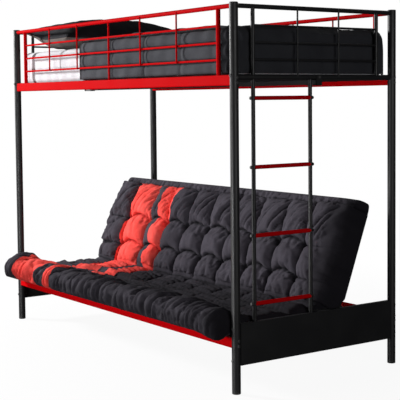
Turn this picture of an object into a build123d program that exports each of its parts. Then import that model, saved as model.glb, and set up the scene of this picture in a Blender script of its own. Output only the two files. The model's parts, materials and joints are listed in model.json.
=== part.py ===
from build123d import *
from math import cos, pi, radians, sin, sqrt
import os

# Sofa bunk bed: a single bunk on four round steel posts over a folding futon sofa.
# X runs along the bed, -Y is the front of the sofa, +Z is up. Millimetres.
# The origin is on the floor at the middle of the whole outline.

# Posts
post_spacing_x = 2045
post_spacing_y = 925
post_height = 1665
post_diameter = 38
post_wall = 1.5
foot_height = 14
foot_rounding = 3
cap_height = 5
cap_rounding = 3
plug_depth = 25
plug_gap = 0.3

# Clearances
weld_gap = 0.2
soft_gap = 0.3
slide_gap = 0.3
bolt_hole_gap = 0.2
pin_running_gap = 0.05

# Long side rails, upper and lower
rail_height = 46
rail_depth = 25
rail_wall = 1.5
rail_corner = 6
rail_plug = 30
guard_height = 312
sofa_rail_level = 219

# Bolts
bolt_diameter = 8
bolt_head_diameter = 13
bolt_head_height = 3.5
bolt_head_rounding = 1.6
bolt_socket_width = 5
bolt_socket_depth = 2
bolt_grip = 22
rail_bolt_pitch = 22
nut_width = 13
nut_height = 6

# Guards round the bunk
top_rail_diameter = 20
top_rail_drop = 15
tube_wall = 1.2
guard_bar_diameter = 10
guard_bar_count = 3
first_bar_drop = 79
guard_bar_pitch = 72.5
side_upright_diameter = 20
side_upright_inset = 108.5
middle_upright_diameter = 10
spindle_diameter = 8
side_spindles_per_half = 2
end_upright_diameter = 18
end_upright_inset = 101
end_spindle_count = 2
crossbar_diameter = 25
crossbar_drop = 299
crossbar_plug = 30
crossbar_bolt_rise = 6.5

# Bunk base
beam_width = 20
beam_height = 20
beam_wall = 1.5
bracket_width = 30
bracket_reach = 70
bracket_thickness = 3
slat_count = 14
slat_width = 40
slat_thickness = 10
slat_wall = 1.2
slat_end_margin = 60

# End panels, pressed trays
panel_level = 121
panel_height = 181
panel_depth = 20
panel_sheet = 1.5
panel_bolt_inset = 23

# Ladder
ladder_rail_diameter = 18
ladder_width = 320
rung_diameter = 18
rung_wall = 1.5
rung_plug = 22
rung_count = 4
first_rung_drop = 89
last_rung_rise = 75
rung_bolt_head = 15
rung_bolt_height = 9
rung_bolt_rounding = 4

# Sofa base: runners and bearers under the seat
runner_width = 43
runner_drop = 30
runner_sheet = 3
bearer_width = 30
bearer_height = 30
bearer_wall = 1.5
inner_tube_offset = 330

# Sofa decks: the seat slides forward and the back turns on hinges at its foot
deck_tube = 20
deck_wall = 1.5
deck_inset = 18.5
glide_thickness = 1.7
glide_length = 60
rear_glide_inset = 70
strip_thickness = 3
strip_width = 45
seat_strip_count = 6
back_strip_count = 5
hinge_setback = 608.5
seat_front_reach = 37.5
back_length = 530
back_lean = 21
seat_travel_length = 205
hinge_arm = 20
hinge_lug_radius = 9
hinge_lug_thickness = 4
hinge_lug_gap = 0.4
hinge_lug_inset = 60
hinge_pin_diameter = 8
hinge_pin_head = 3

# Guide plates: a curved slot leads a pin on each end of the back
guide_arm = 40
guide_pin_diameter = 8
guide_pin_end = 2
guide_slot_gap = 0.6
guide_slot_steps = 8
guide_plate_thickness = 3
guide_plate_margin = 8
guide_plate_gap = 11

# Futon, one mattress in two halves over the hinge
futon_overhang = 108.5
futon_end_overhang = 5
futon_seat_thickness = 112
futon_back_thickness = 137
futon_top_overhang = 18
futon_crease_thickness = 45
crease_setback = 492.5
futon_lip_drop = 12
futon_lip_run = 70
futon_lip_nose = 15
futon_front_rounding = 70
futon_top_rounding = 45
futon_columns = 10
futon_tuft_depth = 22
futon_seam_depth = 10
futon_end_run = 30
futon_end_drop = 34
fold_gap = 1
# Where the rows of tufts lie from the front edge to the crease, and how thick the seat is there
seat_row_shares = (0.29, 0.5, 0.74)
seat_height_shares = (0.76, 0.6, 0.52)
# Where the rows of tufts lie from the foot of the back to its top
back_row_shares = (0.24, 0.53)

# Bunk bedding
mattress_end_gap = 27.5
mattress_side_gap = 24.5
mattress_thickness = 186
mattress_crown = 6
mattress_rounding = 26
quilt_pillow_gap = 163
quilt_thickness = 48
quilt_side_thickness = 13
quilt_hang = 216
quilt_rows = 4
quilt_columns = 6
quilt_channel_depth = 9
quilt_rounding = 24
pillow_end_gap = 13
pillow_width = 500
pillow_thickness = 190
pillow_gap = 14
pillow_edge = 40
pillow_end_taper = 0.1
# The pillow's height at stations along its length
pillow_station_shares = (0, 0.04, 0.15, 0.32, 0.5, 0.68, 0.85, 0.96, 1)
pillow_height_shares = (0.3, 0.48, 0.8, 0.97, 1, 0.97, 0.8, 0.48, 0.3)

# Places worked out from the sizes above
post_radius = post_diameter / 2
post_x = post_spacing_x / 2
depth_middle = (futon_overhang - bolt_head_height) / 2
front_y = depth_middle - post_spacing_y / 2
back_y = depth_middle + post_spacing_y / 2
corners = [(x, y) for y in (front_y, back_y) for x in (-post_x, post_x)]
top_rail_level = post_height - top_rail_drop
crossbar_level = top_rail_level - crossbar_drop
upper_rail_level = top_rail_level - guard_height
upper_rail_top = upper_rail_level + rail_height / 2
sofa_rail_top = sofa_rail_level + rail_height / 2
rail_inner_front = front_y + rail_depth / 2 + weld_gap
rail_inner_back = back_y - rail_depth / 2 - weld_gap
side_upright_x = post_x - side_upright_inset
end_upright_y = post_spacing_y / 2 - end_upright_inset
guard_bar_levels = [top_rail_level - first_bar_drop - i * guard_bar_pitch
                    for i in range(guard_bar_count)]
bar_cross_offset = guard_bar_diameter / 2 + spindle_diameter / 2 + weld_gap
crossbar_top = crossbar_level + crossbar_diameter / 2
beam_top = crossbar_level - crossbar_diameter / 2 - weld_gap
slat_bottom = beam_top + weld_gap
slat_top = slat_bottom + slat_thickness
ladder_front_y = depth_middle - end_upright_y
ladder_back_y = ladder_front_y + ladder_width
panel_top = panel_level + panel_height
first_rung_level = crossbar_level - first_rung_drop
rung_pitch = (first_rung_level - panel_top - last_rung_rise) / (rung_count - 1)
rung_levels = [first_rung_level - i * rung_pitch for i in range(rung_count)]
runner_x = post_x - post_radius

half_tube = deck_tube / 2
deck_bottom = sofa_rail_top + slide_gap + glide_thickness
deck_half_length = post_x - post_radius - deck_inset
deck_tube_x = deck_half_length - half_tube
deck_columns = (-deck_tube_x, -inner_tube_offset, inner_tube_offset, deck_tube_x)
hinge_z = deck_bottom + half_tube
hinge_y = front_y + hinge_setback
seat_front_y = front_y - seat_front_reach
seat_rear_y = hinge_y - hinge_arm
back_top = back_length - half_tube
lean = radians(back_lean)
recline = pi / 2 - lean
deck_skin = half_tube + weld_gap + strip_thickness
cushion_base = deck_skin + soft_gap
futon_half_length = deck_half_length + futon_end_overhang
futon_back_top = back_length + futon_top_overhang
mattress_length = post_spacing_x - 2 * mattress_end_gap
mattress_width = post_spacing_y - 2 * mattress_side_gap
pillow_length = mattress_width - 2 * pillow_end_gap
guide_plate_x = deck_half_length + guide_plate_gap


def rod(start, end, diameter):
    """A solid round bar between two points."""
    start, end = Vector(*start), Vector(*end)
    run = end - start
    bar = Cylinder(diameter / 2, run.length, align=(Align.CENTER, Align.CENTER, Align.MIN))
    return Plane(origin=start, z_dir=run) * bar


def tube(start, end, diameter, wall):
    """A round tube, open at both ends."""
    return rod(start, end, diameter) - rod(start, end, diameter - 2 * wall)


def block(corner, opposite):
    """A box between two opposite corners."""
    low = [min(a, b) for a, b in zip(corner, opposite)]
    size = [abs(a - b) for a, b in zip(corner, opposite)]
    return Pos(*low) * Box(*size, align=(Align.MIN, Align.MIN, Align.MIN))


def box_tube(low, high, axis, wall):
    """A square tube between two corners, open along one axis: 0 is X, 1 is Y, 2 is Z."""
    inner_low = [a if i == axis else a + wall for i, a in enumerate(low)]
    inner_high = [a if i == axis else a - wall for i, a in enumerate(high)]
    return block(low, high) - block(inner_low, inner_high)


def spread(first, last, count):
    """Evenly spaced places from the first to the last."""
    return [first + (last - first) * i / (count - 1) for i in range(count)]


# The room that a round piece takes, with a weld's gap round it

def post_room(x, y):
    return rod((x, y, 0), (x, y, post_height), post_diameter + 2 * weld_gap)


def x_room(y, z, diameter):
    return rod((-post_x, y, z), (post_x, y, z), diameter + 2 * weld_gap)


def y_room(x, z, diameter):
    return rod((x, front_y, z), (x, back_y, z), diameter + 2 * weld_gap)


def z_room(x, y, z, diameter):
    return rod((x, y, z - rail_height), (x, y, z + rail_height), diameter + 2 * weld_gap)


# Bolts and nuts

bolt_hole = bolt_diameter + 2 * bolt_hole_gap
rail_bolt_offsets = (-rail_bolt_pitch / 2, rail_bolt_pitch / 2)
rail_bolt_levels = [level + offset for level in (upper_rail_level, sofa_rail_level)
                    for offset in rail_bolt_offsets]
crossbar_bolt_level = crossbar_level + crossbar_bolt_rise
panel_bolt_levels = (panel_level + panel_bolt_inset, panel_top - panel_bolt_inset)


def button_bolt(point, direction, length, head_diameter, head_height, rounding):
    """A round-headed bolt: its head lies on the surface at a point, its shank runs on."""
    shank = Cylinder(bolt_diameter / 2, length, align=(Align.CENTER, Align.CENTER, Align.MIN))
    head = Cylinder(head_diameter / 2, head_height,
                    align=(Align.CENTER, Align.CENTER, Align.MAX))
    head = fillet(head.edges().sort_by(Axis.Z)[0], rounding)
    return Plane(origin=point, z_dir=direction) * (head + shank)


def frame_bolt(point, direction, length):
    """A bolt of the frame, with a hexagon socket in its head."""
    bolt = button_bolt(point, direction, length, bolt_head_diameter, bolt_head_height,
                       bolt_head_rounding)
    hexagon = RegularPolygon(bolt_socket_width / 2, 6, major_radius=False)
    head_face = Plane(origin=point, z_dir=direction) * Pos(0, 0, -bolt_head_height)
    return bolt - head_face * extrude(hexagon, bolt_socket_depth)


def hex_nut(point, direction):
    outline = RegularPolygon(nut_width / 2, 6, major_radius=False) - Circle(bolt_hole / 2)
    return Plane(origin=point, z_dir=direction) * extrude(outline, nut_height)


def make_rail_bolts():
    """Two bolts through each post into the end of each long rail."""
    bolts = []
    for x, y in corners:
        out = 1 if x > 0 else -1
        for z in rail_bolt_levels:
            bolts.append(frame_bolt((x + out * post_radius, y, z), (-out, 0, 0),
                                    post_diameter + bolt_grip))
    return bolts


def make_end_bolts():
    """Bolts through the posts into the crossbars, and into the panels with a nut each."""
    solids = []
    for x, y in corners:
        out = 1 if y > depth_middle else -1
        face = y + out * post_radius
        solids.append(frame_bolt((x, face, crossbar_bolt_level), (0, -out, 0),
                                 post_diameter + bolt_grip))
        nut_face = y - out * (post_radius + 2 * weld_gap + panel_sheet)
        for z in panel_bolt_levels:
            solids.append(frame_bolt((x, face, z), (0, -out, 0),
                                     post_diameter + panel_sheet + 2 * nut_height))
            solids.append(hex_nut((x, nut_face, z), (0, -out, 0)))
    return solids


# Posts with their caps and feet

def make_post(x, y):
    post = tube((x, y, foot_height), (x, y, post_height - cap_height), post_diameter, post_wall)
    for z in rail_bolt_levels:
        post -= rod((x - post_diameter, y, z), (x + post_diameter, y, z), bolt_hole)
    for z in (crossbar_bolt_level,) + panel_bolt_levels:
        post -= rod((x, y - post_diameter, z), (x, y + post_diameter, z), bolt_hole)
    return post


plug_diameter = post_diameter - 2 * post_wall - 2 * plug_gap


def make_cap(x, y):
    head = Cylinder(post_radius, cap_height, align=(Align.CENTER, Align.CENTER, Align.MIN))
    head = fillet(head.edges().sort_by(Axis.Z)[-1], cap_rounding)
    plug = rod((0, 0, -plug_depth), (0, 0, 0), plug_diameter)
    return Pos(x, y, post_height - cap_height) * (head + plug)


def make_foot(x, y):
    foot = Cylinder(post_radius, foot_height, align=(Align.CENTER, Align.CENTER, Align.MIN))
    foot = fillet(foot.edges().sort_by(Axis.Z)[0], foot_rounding)
    plug = rod((0, 0, foot_height), (0, 0, foot_height + plug_depth), plug_diameter)
    return Pos(x, y, 0) * (foot + plug)


# Long side rails

def make_side_rail(y, level):
    """A flat tube with rounded corners, its ends plugged and cut to the posts."""
    outer = Plane.YZ * RectangleRounded(rail_depth, rail_height, rail_corner)
    inner = Plane.YZ * RectangleRounded(rail_depth - 2 * rail_wall, rail_height - 2 * rail_wall,
                                        rail_corner - rail_wall)
    hollow = post_x - post_radius - rail_plug
    rail = extrude(outer, post_x, both=True) - extrude(inner, hollow, both=True)
    rail = Pos(0, y, level) * rail
    for end in (-1, 1):
        rail -= post_room(end * post_x, y)
        for offset in rail_bolt_offsets:
            z = level + offset
            rail -= rod((end * post_x, y, z), (end * hollow, y, z), bolt_hole)
    return rail


# Guards along the sides

def make_side_top_rail(y):
    rail = tube((-post_x, y, top_rail_level), (post_x, y, top_rail_level), top_rail_diameter,
                tube_wall)
    return rail - post_room(-post_x, y) - post_room(post_x, y)


def make_side_uprights(y, out):
    """The end uprights, the middle one, and thin spindles outside the bars."""
    room = x_room(y, top_rail_level, top_rail_diameter)
    foot = upper_rail_top + weld_gap
    solids = []
    for x, diameter in ((-side_upright_x, side_upright_diameter), (0, middle_upright_diameter),
                        (side_upright_x, side_upright_diameter)):
        solids.append(tube((x, y, foot), (x, y, top_rail_level), diameter, tube_wall) - room)
    spindle_y = y + out * bar_cross_offset
    spindle_foot = guard_bar_levels[-1] - guard_bar_diameter / 2
    for half in (-1, 1):
        for i in range(side_spindles_per_half):
            x = half * side_upright_x * (i + 1) / (side_spindles_per_half + 1)
            spindle = rod((x, spindle_y, spindle_foot), (x, spindle_y, top_rail_level),
                          spindle_diameter)
            solids.append(spindle - room)
    return solids


def make_side_bars(y):
    """Thin bars from each end upright to the middle one."""
    solids = []
    for z in guard_bar_levels:
        for half in (-1, 1):
            bar = rod((0, y, z), (half * side_upright_x, y, z), guard_bar_diameter)
            bar -= z_room(0, y, z, middle_upright_diameter)
            solids.append(bar - z_room(half * side_upright_x, y, z, side_upright_diameter))
    return solids


# Ends: top rail, guard, crossbar and panel

def make_end_top_rail(x):
    rail = tube((x, front_y, top_rail_level), (x, back_y, top_rail_level), top_rail_diameter,
                tube_wall)
    return rail - post_room(x, front_y) - post_room(x, back_y)


def make_end_uprights(x, out):
    rooms = (y_room(x, top_rail_level, top_rail_diameter)
             + y_room(x, crossbar_level, crossbar_diameter))
    solids = []
    for side in (-1, 1):
        y = depth_middle + side * end_upright_y
        upright = tube((x, y, crossbar_level), (x, y, top_rail_level), end_upright_diameter,
                       tube_wall)
        solids.append(upright - rooms)
    spindle_x = x + out * bar_cross_offset
    spindle_foot = crossbar_level + spindle_diameter / 2
    for i in range(end_spindle_count):
        y = depth_middle + end_upright_y * (2 * (i + 1) / (end_spindle_count + 1) - 1)
        spindle = rod((spindle_x, y, spindle_foot), (spindle_x, y, top_rail_level),
                      spindle_diameter)
        solids.append(spindle - rooms)
    return solids


def make_end_bars(x):
    solids = []
    for z in guard_bar_levels:
        bar = rod((x, depth_middle - end_upright_y, z), (x, depth_middle + end_upright_y, z),
                  guard_bar_diameter)
        for side in (-1, 1):
            bar -= z_room(x, depth_middle + side * end_upright_y, z, end_upright_diameter)
        solids.append(bar)
    return solids


def make_crossbar(x):
    """The round bar under an end guard: solid plugs at its ends take the bolts."""
    bar = rod((x, front_y, crossbar_level), (x, back_y, crossbar_level), crossbar_diameter)
    plug = post_radius + crossbar_plug
    bar -= rod((x, front_y + plug, crossbar_level), (x, back_y - plug, crossbar_level),
               crossbar_diameter - 2 * tube_wall)
    for y, inner in ((front_y, front_y + plug), (back_y, back_y - plug)):
        bar -= post_room(x, y)
        bar -= rod((x, y, crossbar_bolt_level), (x, inner, crossbar_bolt_level), bolt_hole)
    return bar - rod((x - crossbar_diameter, depth_middle, crossbar_level),
                     (x + crossbar_diameter, depth_middle, crossbar_level), bolt_hole)


def make_end_panel(x, out):
    """A pressed tray: a flat outer sheet with returns that face in."""
    front = front_y + post_radius + weld_gap
    back = back_y - post_radius - weld_gap
    face = x + out * panel_depth / 2
    mouth = x - out * panel_depth / 2
    tray = block((mouth, front, panel_level), (face, back, panel_top))
    tray -= block((mouth, front + panel_sheet, panel_level + panel_sheet),
                  (face - out * panel_sheet, back - panel_sheet, panel_top - panel_sheet))
    for z in panel_bolt_levels:
        tray -= rod((x, front_y, z), (x, back_y, z), bolt_hole)
    return tray


# Bunk base: a middle beam on brackets, and slats across it

strap_x = post_x + crossbar_diameter / 2 + weld_gap
beam_bottom = beam_top - beam_height


def make_beam():
    return box_tube((-strap_x, depth_middle - beam_width / 2, beam_bottom),
                    (strap_x, depth_middle + beam_width / 2, beam_top), 0, beam_wall)


def make_beam_bracket(out):
    """A strap on the crossbar's outer side with a leg under the beam."""
    front = depth_middle - bracket_width / 2
    back = depth_middle + bracket_width / 2
    leg_top = beam_bottom - weld_gap
    strap_out = strap_x + weld_gap + bracket_thickness
    strap = block((out * (strap_x + weld_gap), front, leg_top), (out * strap_out, back, crossbar_top))
    leg = block((out * (strap_x - bracket_reach), front, leg_top - bracket_thickness),
                (out * strap_out, back, leg_top))
    hole = rod((out * strap_x, depth_middle, crossbar_level),
               (out * (strap_out + bracket_thickness), depth_middle, crossbar_level), bolt_hole)
    return strap + leg - hole


def make_bracket_bolts():
    face = strap_x + weld_gap + bracket_thickness
    return [frame_bolt((out * face, depth_middle, crossbar_level), (-out, 0, 0),
                       crossbar_diameter) for out in (-1, 1)]


def make_slats():
    """Flat tubes across the bunk from rail to rail, over the middle beam."""
    reach = post_x - post_radius - slat_end_margin - slat_width / 2
    return [box_tube((x - slat_width / 2, rail_inner_front, slat_bottom),
                     (x + slat_width / 2, rail_inner_back, slat_top), 1, slat_wall)
            for x in spread(-reach, reach, slat_count)]


# Ladder on the right end

def make_ladder_rail(y):
    rail = tube((post_x, y, panel_top + weld_gap), (post_x, y, crossbar_level),
                ladder_rail_diameter, tube_wall)
    rail -= y_room(post_x, crossbar_level, crossbar_diameter)
    for z in rung_levels:
        rail -= rod((post_x, y - ladder_rail_diameter, z), (post_x, y + ladder_rail_diameter, z),
                    bolt_hole)
    return rail


def make_rung(z):
    """A round tread between the ladder rails, plugged at its ends for the bolts."""
    plug = ladder_rail_diameter / 2 + rung_plug
    rung = rod((post_x, ladder_front_y, z), (post_x, ladder_back_y, z), rung_diameter)
    rung -= rod((post_x, ladder_front_y + plug, z), (post_x, ladder_back_y - plug, z),
                rung_diameter - 2 * rung_wall)
    for y, inner in ((ladder_front_y, ladder_front_y + plug),
                     (ladder_back_y, ladder_back_y - plug)):
        rung -= z_room(post_x, y, z, ladder_rail_diameter)
        rung -= rod((post_x, y, z), (post_x, inner, z), bolt_hole)
    return rung


def make_rung_bolts():
    """Domed bolts through the ladder rails into the rungs."""
    bolts = []
    for z in rung_levels:
        for y, out in ((ladder_front_y, -1), (ladder_back_y, 1)):
            bolts.append(button_bolt((post_x, y + out * ladder_rail_diameter / 2, z),
                                     (0, -out, 0), ladder_rail_diameter + rung_plug / 2,
                                     rung_bolt_head, rung_bolt_height, rung_bolt_rounding))
    return bolts


# Sofa base: what the seat glides on

def make_runner(out):
    """An angle along each end: the seat glides on its flat leg."""
    flat = block((out * (runner_x - runner_width), rail_inner_front, sofa_rail_top - runner_sheet),
                 (out * runner_x, rail_inner_back, sofa_rail_top))
    wall = block((out * (runner_x - runner_sheet), rail_inner_front, sofa_rail_top - runner_drop),
                 (out * runner_x, rail_inner_back, sofa_rail_top))
    return flat + wall


def make_bearer(x):
    return box_tube((x - bearer_width / 2, rail_inner_front, sofa_rail_top - bearer_height),
                    (x + bearer_width / 2, rail_inner_back, sofa_rail_top), 1, bearer_wall)


def make_rail_glides():
    """Pads on the front rail, one under each fore and aft tube of the seat."""
    half_width = rail_depth / 2 - rail_corner
    return [block((x - half_tube, front_y - half_width, sofa_rail_top),
                  (x + half_tube, front_y + half_width, sofa_rail_top + glide_thickness))
            for x in deck_columns]


def make_seat_glides():
    """Pads under the seat that run on the runners and the bearers."""
    y = seat_rear_y - rear_glide_inset
    return [block((x - half_tube, y - glide_length / 2, deck_bottom - glide_thickness),
                  (x + half_tube, y + glide_length / 2, deck_bottom)) for x in deck_columns]


# Guide plates on the runners: a curved slot leads the back as the seat slides

def guide_point(share):
    """Where a guide pin is once the seat has made a share of its travel."""
    angle = lean + recline * share
    return Vector(0, hinge_y - seat_travel_length * share + guide_arm * sin(angle),
                  hinge_z + guide_arm * cos(angle))


slot_width = guide_pin_diameter + 2 * guide_slot_gap


def make_guide_slot():
    """The slot's outline in the YZ plane, even in width along the pin's path."""
    shares = spread(0, 1, guide_slot_steps + 1)
    path = Spline([guide_point(share) for share in shares])
    upper, lower = [], []
    for share in shares:
        run = path % share
        aside = Vector(0, -run.Z, run.Y) * (slot_width / 2)
        upper.append(path @ share + aside)
        lower.append(path @ share - aside)
    start_tip = path @ 0 - (path % 0) * (slot_width / 2)
    end_tip = path @ 1 + (path % 1) * (slot_width / 2)
    return make_face([Spline(upper), ThreePointArc(upper[-1], end_tip, lower[-1]),
                      Spline(lower), ThreePointArc(lower[0], start_tip, upper[0])])


def make_guide_plate(out):
    margin = slot_width / 2 + guide_plate_margin
    start, end = guide_point(0), guide_point(1)
    near = out * guide_plate_x
    far = out * (guide_plate_x + guide_plate_thickness)
    plate = block((near, end.Y - margin, sofa_rail_top + weld_gap),
                  (far, start.Y + margin, start.Z + margin))
    slot = extrude(make_guide_slot(), guide_plate_thickness, dir=(1, 0, 0))
    return plate - Pos(min(near, far), 0, 0) * slot


# Seat deck

def make_seat_tube(y):
    return box_tube((-deck_half_length, y - half_tube, deck_bottom),
                    (deck_half_length, y + half_tube, deck_bottom + deck_tube), 0, deck_wall)


def make_seat_cross_tubes():
    front = seat_front_y + half_tube + weld_gap
    rear = seat_rear_y - half_tube - weld_gap
    return [box_tube((x - half_tube, front, deck_bottom),
                     (x + half_tube, rear, deck_bottom + deck_tube), 1, deck_wall)
            for x in deck_columns]


def make_seat_strips():
    """Flat strips along the seat: the last one stops short of the rear tube."""
    z = hinge_z + half_tube + weld_gap
    first = seat_front_y - half_tube + strip_width / 2
    last = seat_rear_y - half_tube - strip_width / 2
    return [block((-deck_half_length, y - strip_width / 2, z),
                  (deck_half_length, y + strip_width / 2, z + strip_thickness))
            for y in spread(first, last, seat_strip_count)]


# Back deck, drawn upright over the hinge line and then leaned back

def leaned(shape):
    return Pos(0, hinge_y, hinge_z) * Rot(-back_lean, 0, 0) * shape


def make_back_tube(rise):
    return leaned(box_tube((-deck_half_length, -half_tube, rise - half_tube),
                           (deck_half_length, half_tube, rise + half_tube), 0, deck_wall))


def make_back_uprights():
    foot = hinge_arm + half_tube + weld_gap
    top = back_top - half_tube - weld_gap
    uprights = []
    for x in deck_columns:
        upright = box_tube((x - half_tube, -half_tube, foot), (x + half_tube, half_tube, top), 2,
                           deck_wall)
        if abs(x) == deck_tube_x:
            upright -= rod((x - deck_tube, 0, guide_arm), (x + deck_tube, 0, guide_arm),
                           guide_pin_diameter + 2 * weld_gap)
        uprights.append(leaned(upright))
    return uprights


def make_back_strips():
    face = -half_tube - weld_gap
    first = hinge_arm - half_tube + strip_width / 2
    last = back_top + half_tube - strip_width / 2
    return [leaned(block((-deck_half_length, face - strip_thickness, rise - strip_width / 2),
                         (deck_half_length, face, rise + strip_width / 2)))
            for rise in spread(first, last, back_strip_count)]


# Hinges between the two decks

lug_reach = hinge_arm - half_tube - weld_gap
lug_pitch = hinge_lug_thickness + hinge_lug_gap
lug_columns = [x - hinge_lug_inset if x > 0 else x + hinge_lug_inset for x in deck_columns]
lug_hole = Cylinder(hinge_pin_diameter / 2 + pin_running_gap, deck_tube, rotation=(0, 90, 0))
lug_end = Cylinder(hinge_lug_radius, hinge_lug_thickness, rotation=(0, 90, 0))


def make_seat_lugs():
    """Two ears, one each side of every lug of the back."""
    arm = Box(hinge_lug_thickness, lug_reach, 2 * hinge_lug_radius,
              align=(Align.CENTER, Align.MAX, Align.CENTER))
    return [Pos(x + side * lug_pitch, hinge_y, hinge_z) * (lug_end + arm - lug_hole)
            for x in lug_columns for side in (-1, 1)]


def make_back_lugs():
    arm = Box(hinge_lug_thickness, 2 * hinge_lug_radius, lug_reach,
              align=(Align.CENTER, Align.CENTER, Align.MIN))
    return [leaned(Pos(x, 0, 0) * (lug_end + arm - lug_hole)) for x in lug_columns]


def make_hinge_pins():
    """Pins with a flat head at each end, outside the ears."""
    head_x = lug_pitch + hinge_lug_thickness / 2 + weld_gap
    pins = []
    for x in lug_columns:
        pin = rod((-head_x, 0, 0), (head_x, 0, 0), hinge_pin_diameter)
        for side in (-1, 1):
            pin += rod((side * head_x, 0, 0), (side * (head_x + hinge_pin_head), 0, 0),
                       2 * (hinge_lug_radius - weld_gap))
        pins.append(Pos(x, hinge_y, hinge_z) * pin)
    return pins


def make_guide_pins():
    """Headed pins through the back's outer tubes into the guide plates' slots."""
    inner = deck_half_length - deck_tube - weld_gap
    tip = guide_plate_x + guide_plate_thickness + guide_pin_end
    pins = []
    for out in (-1, 1):
        shank = rod((out * inner, 0, guide_arm), (out * tip, 0, guide_arm), guide_pin_diameter)
        head = rod((out * (inner - hinge_pin_head), 0, guide_arm), (out * inner, 0, guide_arm),
                   bolt_head_diameter)
        pins.append(leaned(shank + head))
    return pins


# Soft forms: lofts through cross-sections of lines and shallow arcs

def section(points, bulges, place):
    """A face through points in order: each side is bowed outwards by its bulge."""
    edges = []
    for i, (a, b) in enumerate(points):
        c, d = points[(i + 1) % len(points)]
        if not bulges[i]:
            edges.append(Line(place(a, b), place(c, d)))
            continue
        outward = Vector(d - b, a - c).normalized() * bulges[i]
        middle = Vector((a + c) / 2, (b + d) / 2) + outward
        edges.append(ThreePointArc(place(a, b), place(middle.X, middle.Y), place(c, d)))
    return make_face(edges)


def at_x(x):
    return lambda y, z: (x, y, z)


def at_y(y):
    return lambda x, z: (x, y, z)


# How far a quarter circle bows out from its chord, for a radius of one
quarter_bulge = 1 - sqrt(1 / 2)

# The futon, in two halves that part along the line from the hinge to the inner crease
base_z = hinge_z + cushion_base
futon_front_y = front_y - post_radius - futon_overhang
crease_y = front_y + crease_setback
crease_out = hinge_y - crease_y
crease_up = cushion_base + futon_crease_thickness
crease_rise = crease_up * cos(lean) - crease_out * sin(lean)
crease_depth = crease_out * cos(lean) + crease_up * sin(lean)


def futon_stations():
    """Places along the futon, how full it is there, and how far its end is drawn in."""
    half = futon_half_length
    pitch = 2 * half / futon_columns
    middles = [(-half + pitch * (i + 1 / 2), 1, 0) for i in range(futon_columns)]
    seams = [(-half + pitch * i, 0, 0) for i in range(1, futon_columns)]
    return sorted([(-half, 0, 1), (half, 0, 1)] + middles + seams)


def seat_section(x, full, drawn):
    """The seat's cross-section: a thick front roll that falls to the thin crease."""
    seam = futon_seam_depth * (1 - full)
    keep = 1 - drawn * futon_end_drop / futon_seat_thickness
    front = futon_front_y + seam + futon_end_run * drawn
    depth = crease_y - futon_front_y
    height = (futon_seat_thickness - seam) * keep
    bow = futon_tuft_depth * (1 + full) / 4 * keep
    partition = crease_out / crease_up
    points = [(futon_front_y + futon_lip_run, base_z),
              (hinge_y - cushion_base * partition - fold_gap, base_z),
              (crease_y - fold_gap, base_z + futon_crease_thickness * keep)]
    bulges = [0, 0, bow]
    for share, thickness in zip(seat_row_shares[::-1], seat_height_shares[::-1]):
        points.append((futon_front_y + depth * share, base_z + height * thickness))
        bulges.append(bow)
    points += [(front + futon_front_rounding, base_z + height),
               (front, base_z + height - futon_front_rounding),
               (front + futon_lip_nose, base_z - futon_lip_drop * keep)]
    bulges += [futon_front_rounding * quarter_bulge, futon_lip_drop / 2, 0]
    return section(points, bulges, at_x(x))


def make_futon_seat():
    return loft([seat_section(*station) for station in futon_stations()], ruled=True)


def back_section(x, full, drawn):
    """The back's cross-section, drawn upright: rows of tufts under a rounded top."""
    seam = futon_seam_depth * (1 - full)
    keep = 1 - drawn * futon_end_drop / futon_back_thickness
    face = -cushion_base - (futon_back_thickness - seam) * keep
    pinch = face + futon_tuft_depth / 2
    top = futon_back_top - futon_end_run * drawn
    foot = max(-crease_depth, pinch)
    bow = futon_tuft_depth * (1 + full) / 4 * keep
    points = [(foot, crease_rise + fold_gap),
              (-cushion_base, hinge_arm - half_tube),
              (-cushion_base, top - futon_top_rounding),
              (-cushion_base - futon_top_rounding, top),
              (face + futon_top_rounding, top),
              (face, top - futon_top_rounding)]
    corner_bulge = futon_top_rounding * quarter_bulge
    bulges = [0, 0, corner_bulge, 0, corner_bulge, bow]
    for share in back_row_shares[::-1]:
        points.append((pinch, futon_back_top * share))
        bulges.append(bow)
    return section(points, bulges, at_x(x))


def make_futon_back():
    return leaned(loft([back_section(*station) for station in futon_stations()], ruled=True))


# Bunk bedding

mattress_base = slat_top + soft_gap
mattress_top = mattress_base + mattress_thickness
mattress_front_y = depth_middle - mattress_width / 2
mattress_back_y = depth_middle + mattress_width / 2
bedding_base = mattress_top + mattress_crown + soft_gap


def make_bunk_mattress():
    """A thick slab with a slight crown and rounded edges."""
    outline = section([(mattress_front_y, mattress_base), (mattress_back_y, mattress_base),
                       (mattress_back_y, mattress_top), (mattress_front_y, mattress_top)],
                      [0, 0, mattress_crown, 0], at_x(-mattress_length / 2))
    slab = extrude(outline, mattress_length, dir=(1, 0, 0))
    return fillet(slab.edges(), mattress_rounding)


quilt_skin = soft_gap + quilt_side_thickness
quilt_right_x = mattress_length / 2 + quilt_skin
pillow_left_x = -post_x + end_upright_diameter / 2 + pillow_gap
quilt_left_x = pillow_left_x + pillow_width + quilt_pillow_gap
quilt_top = bedding_base + quilt_thickness
quilt_hem = quilt_top - quilt_hang


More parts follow.
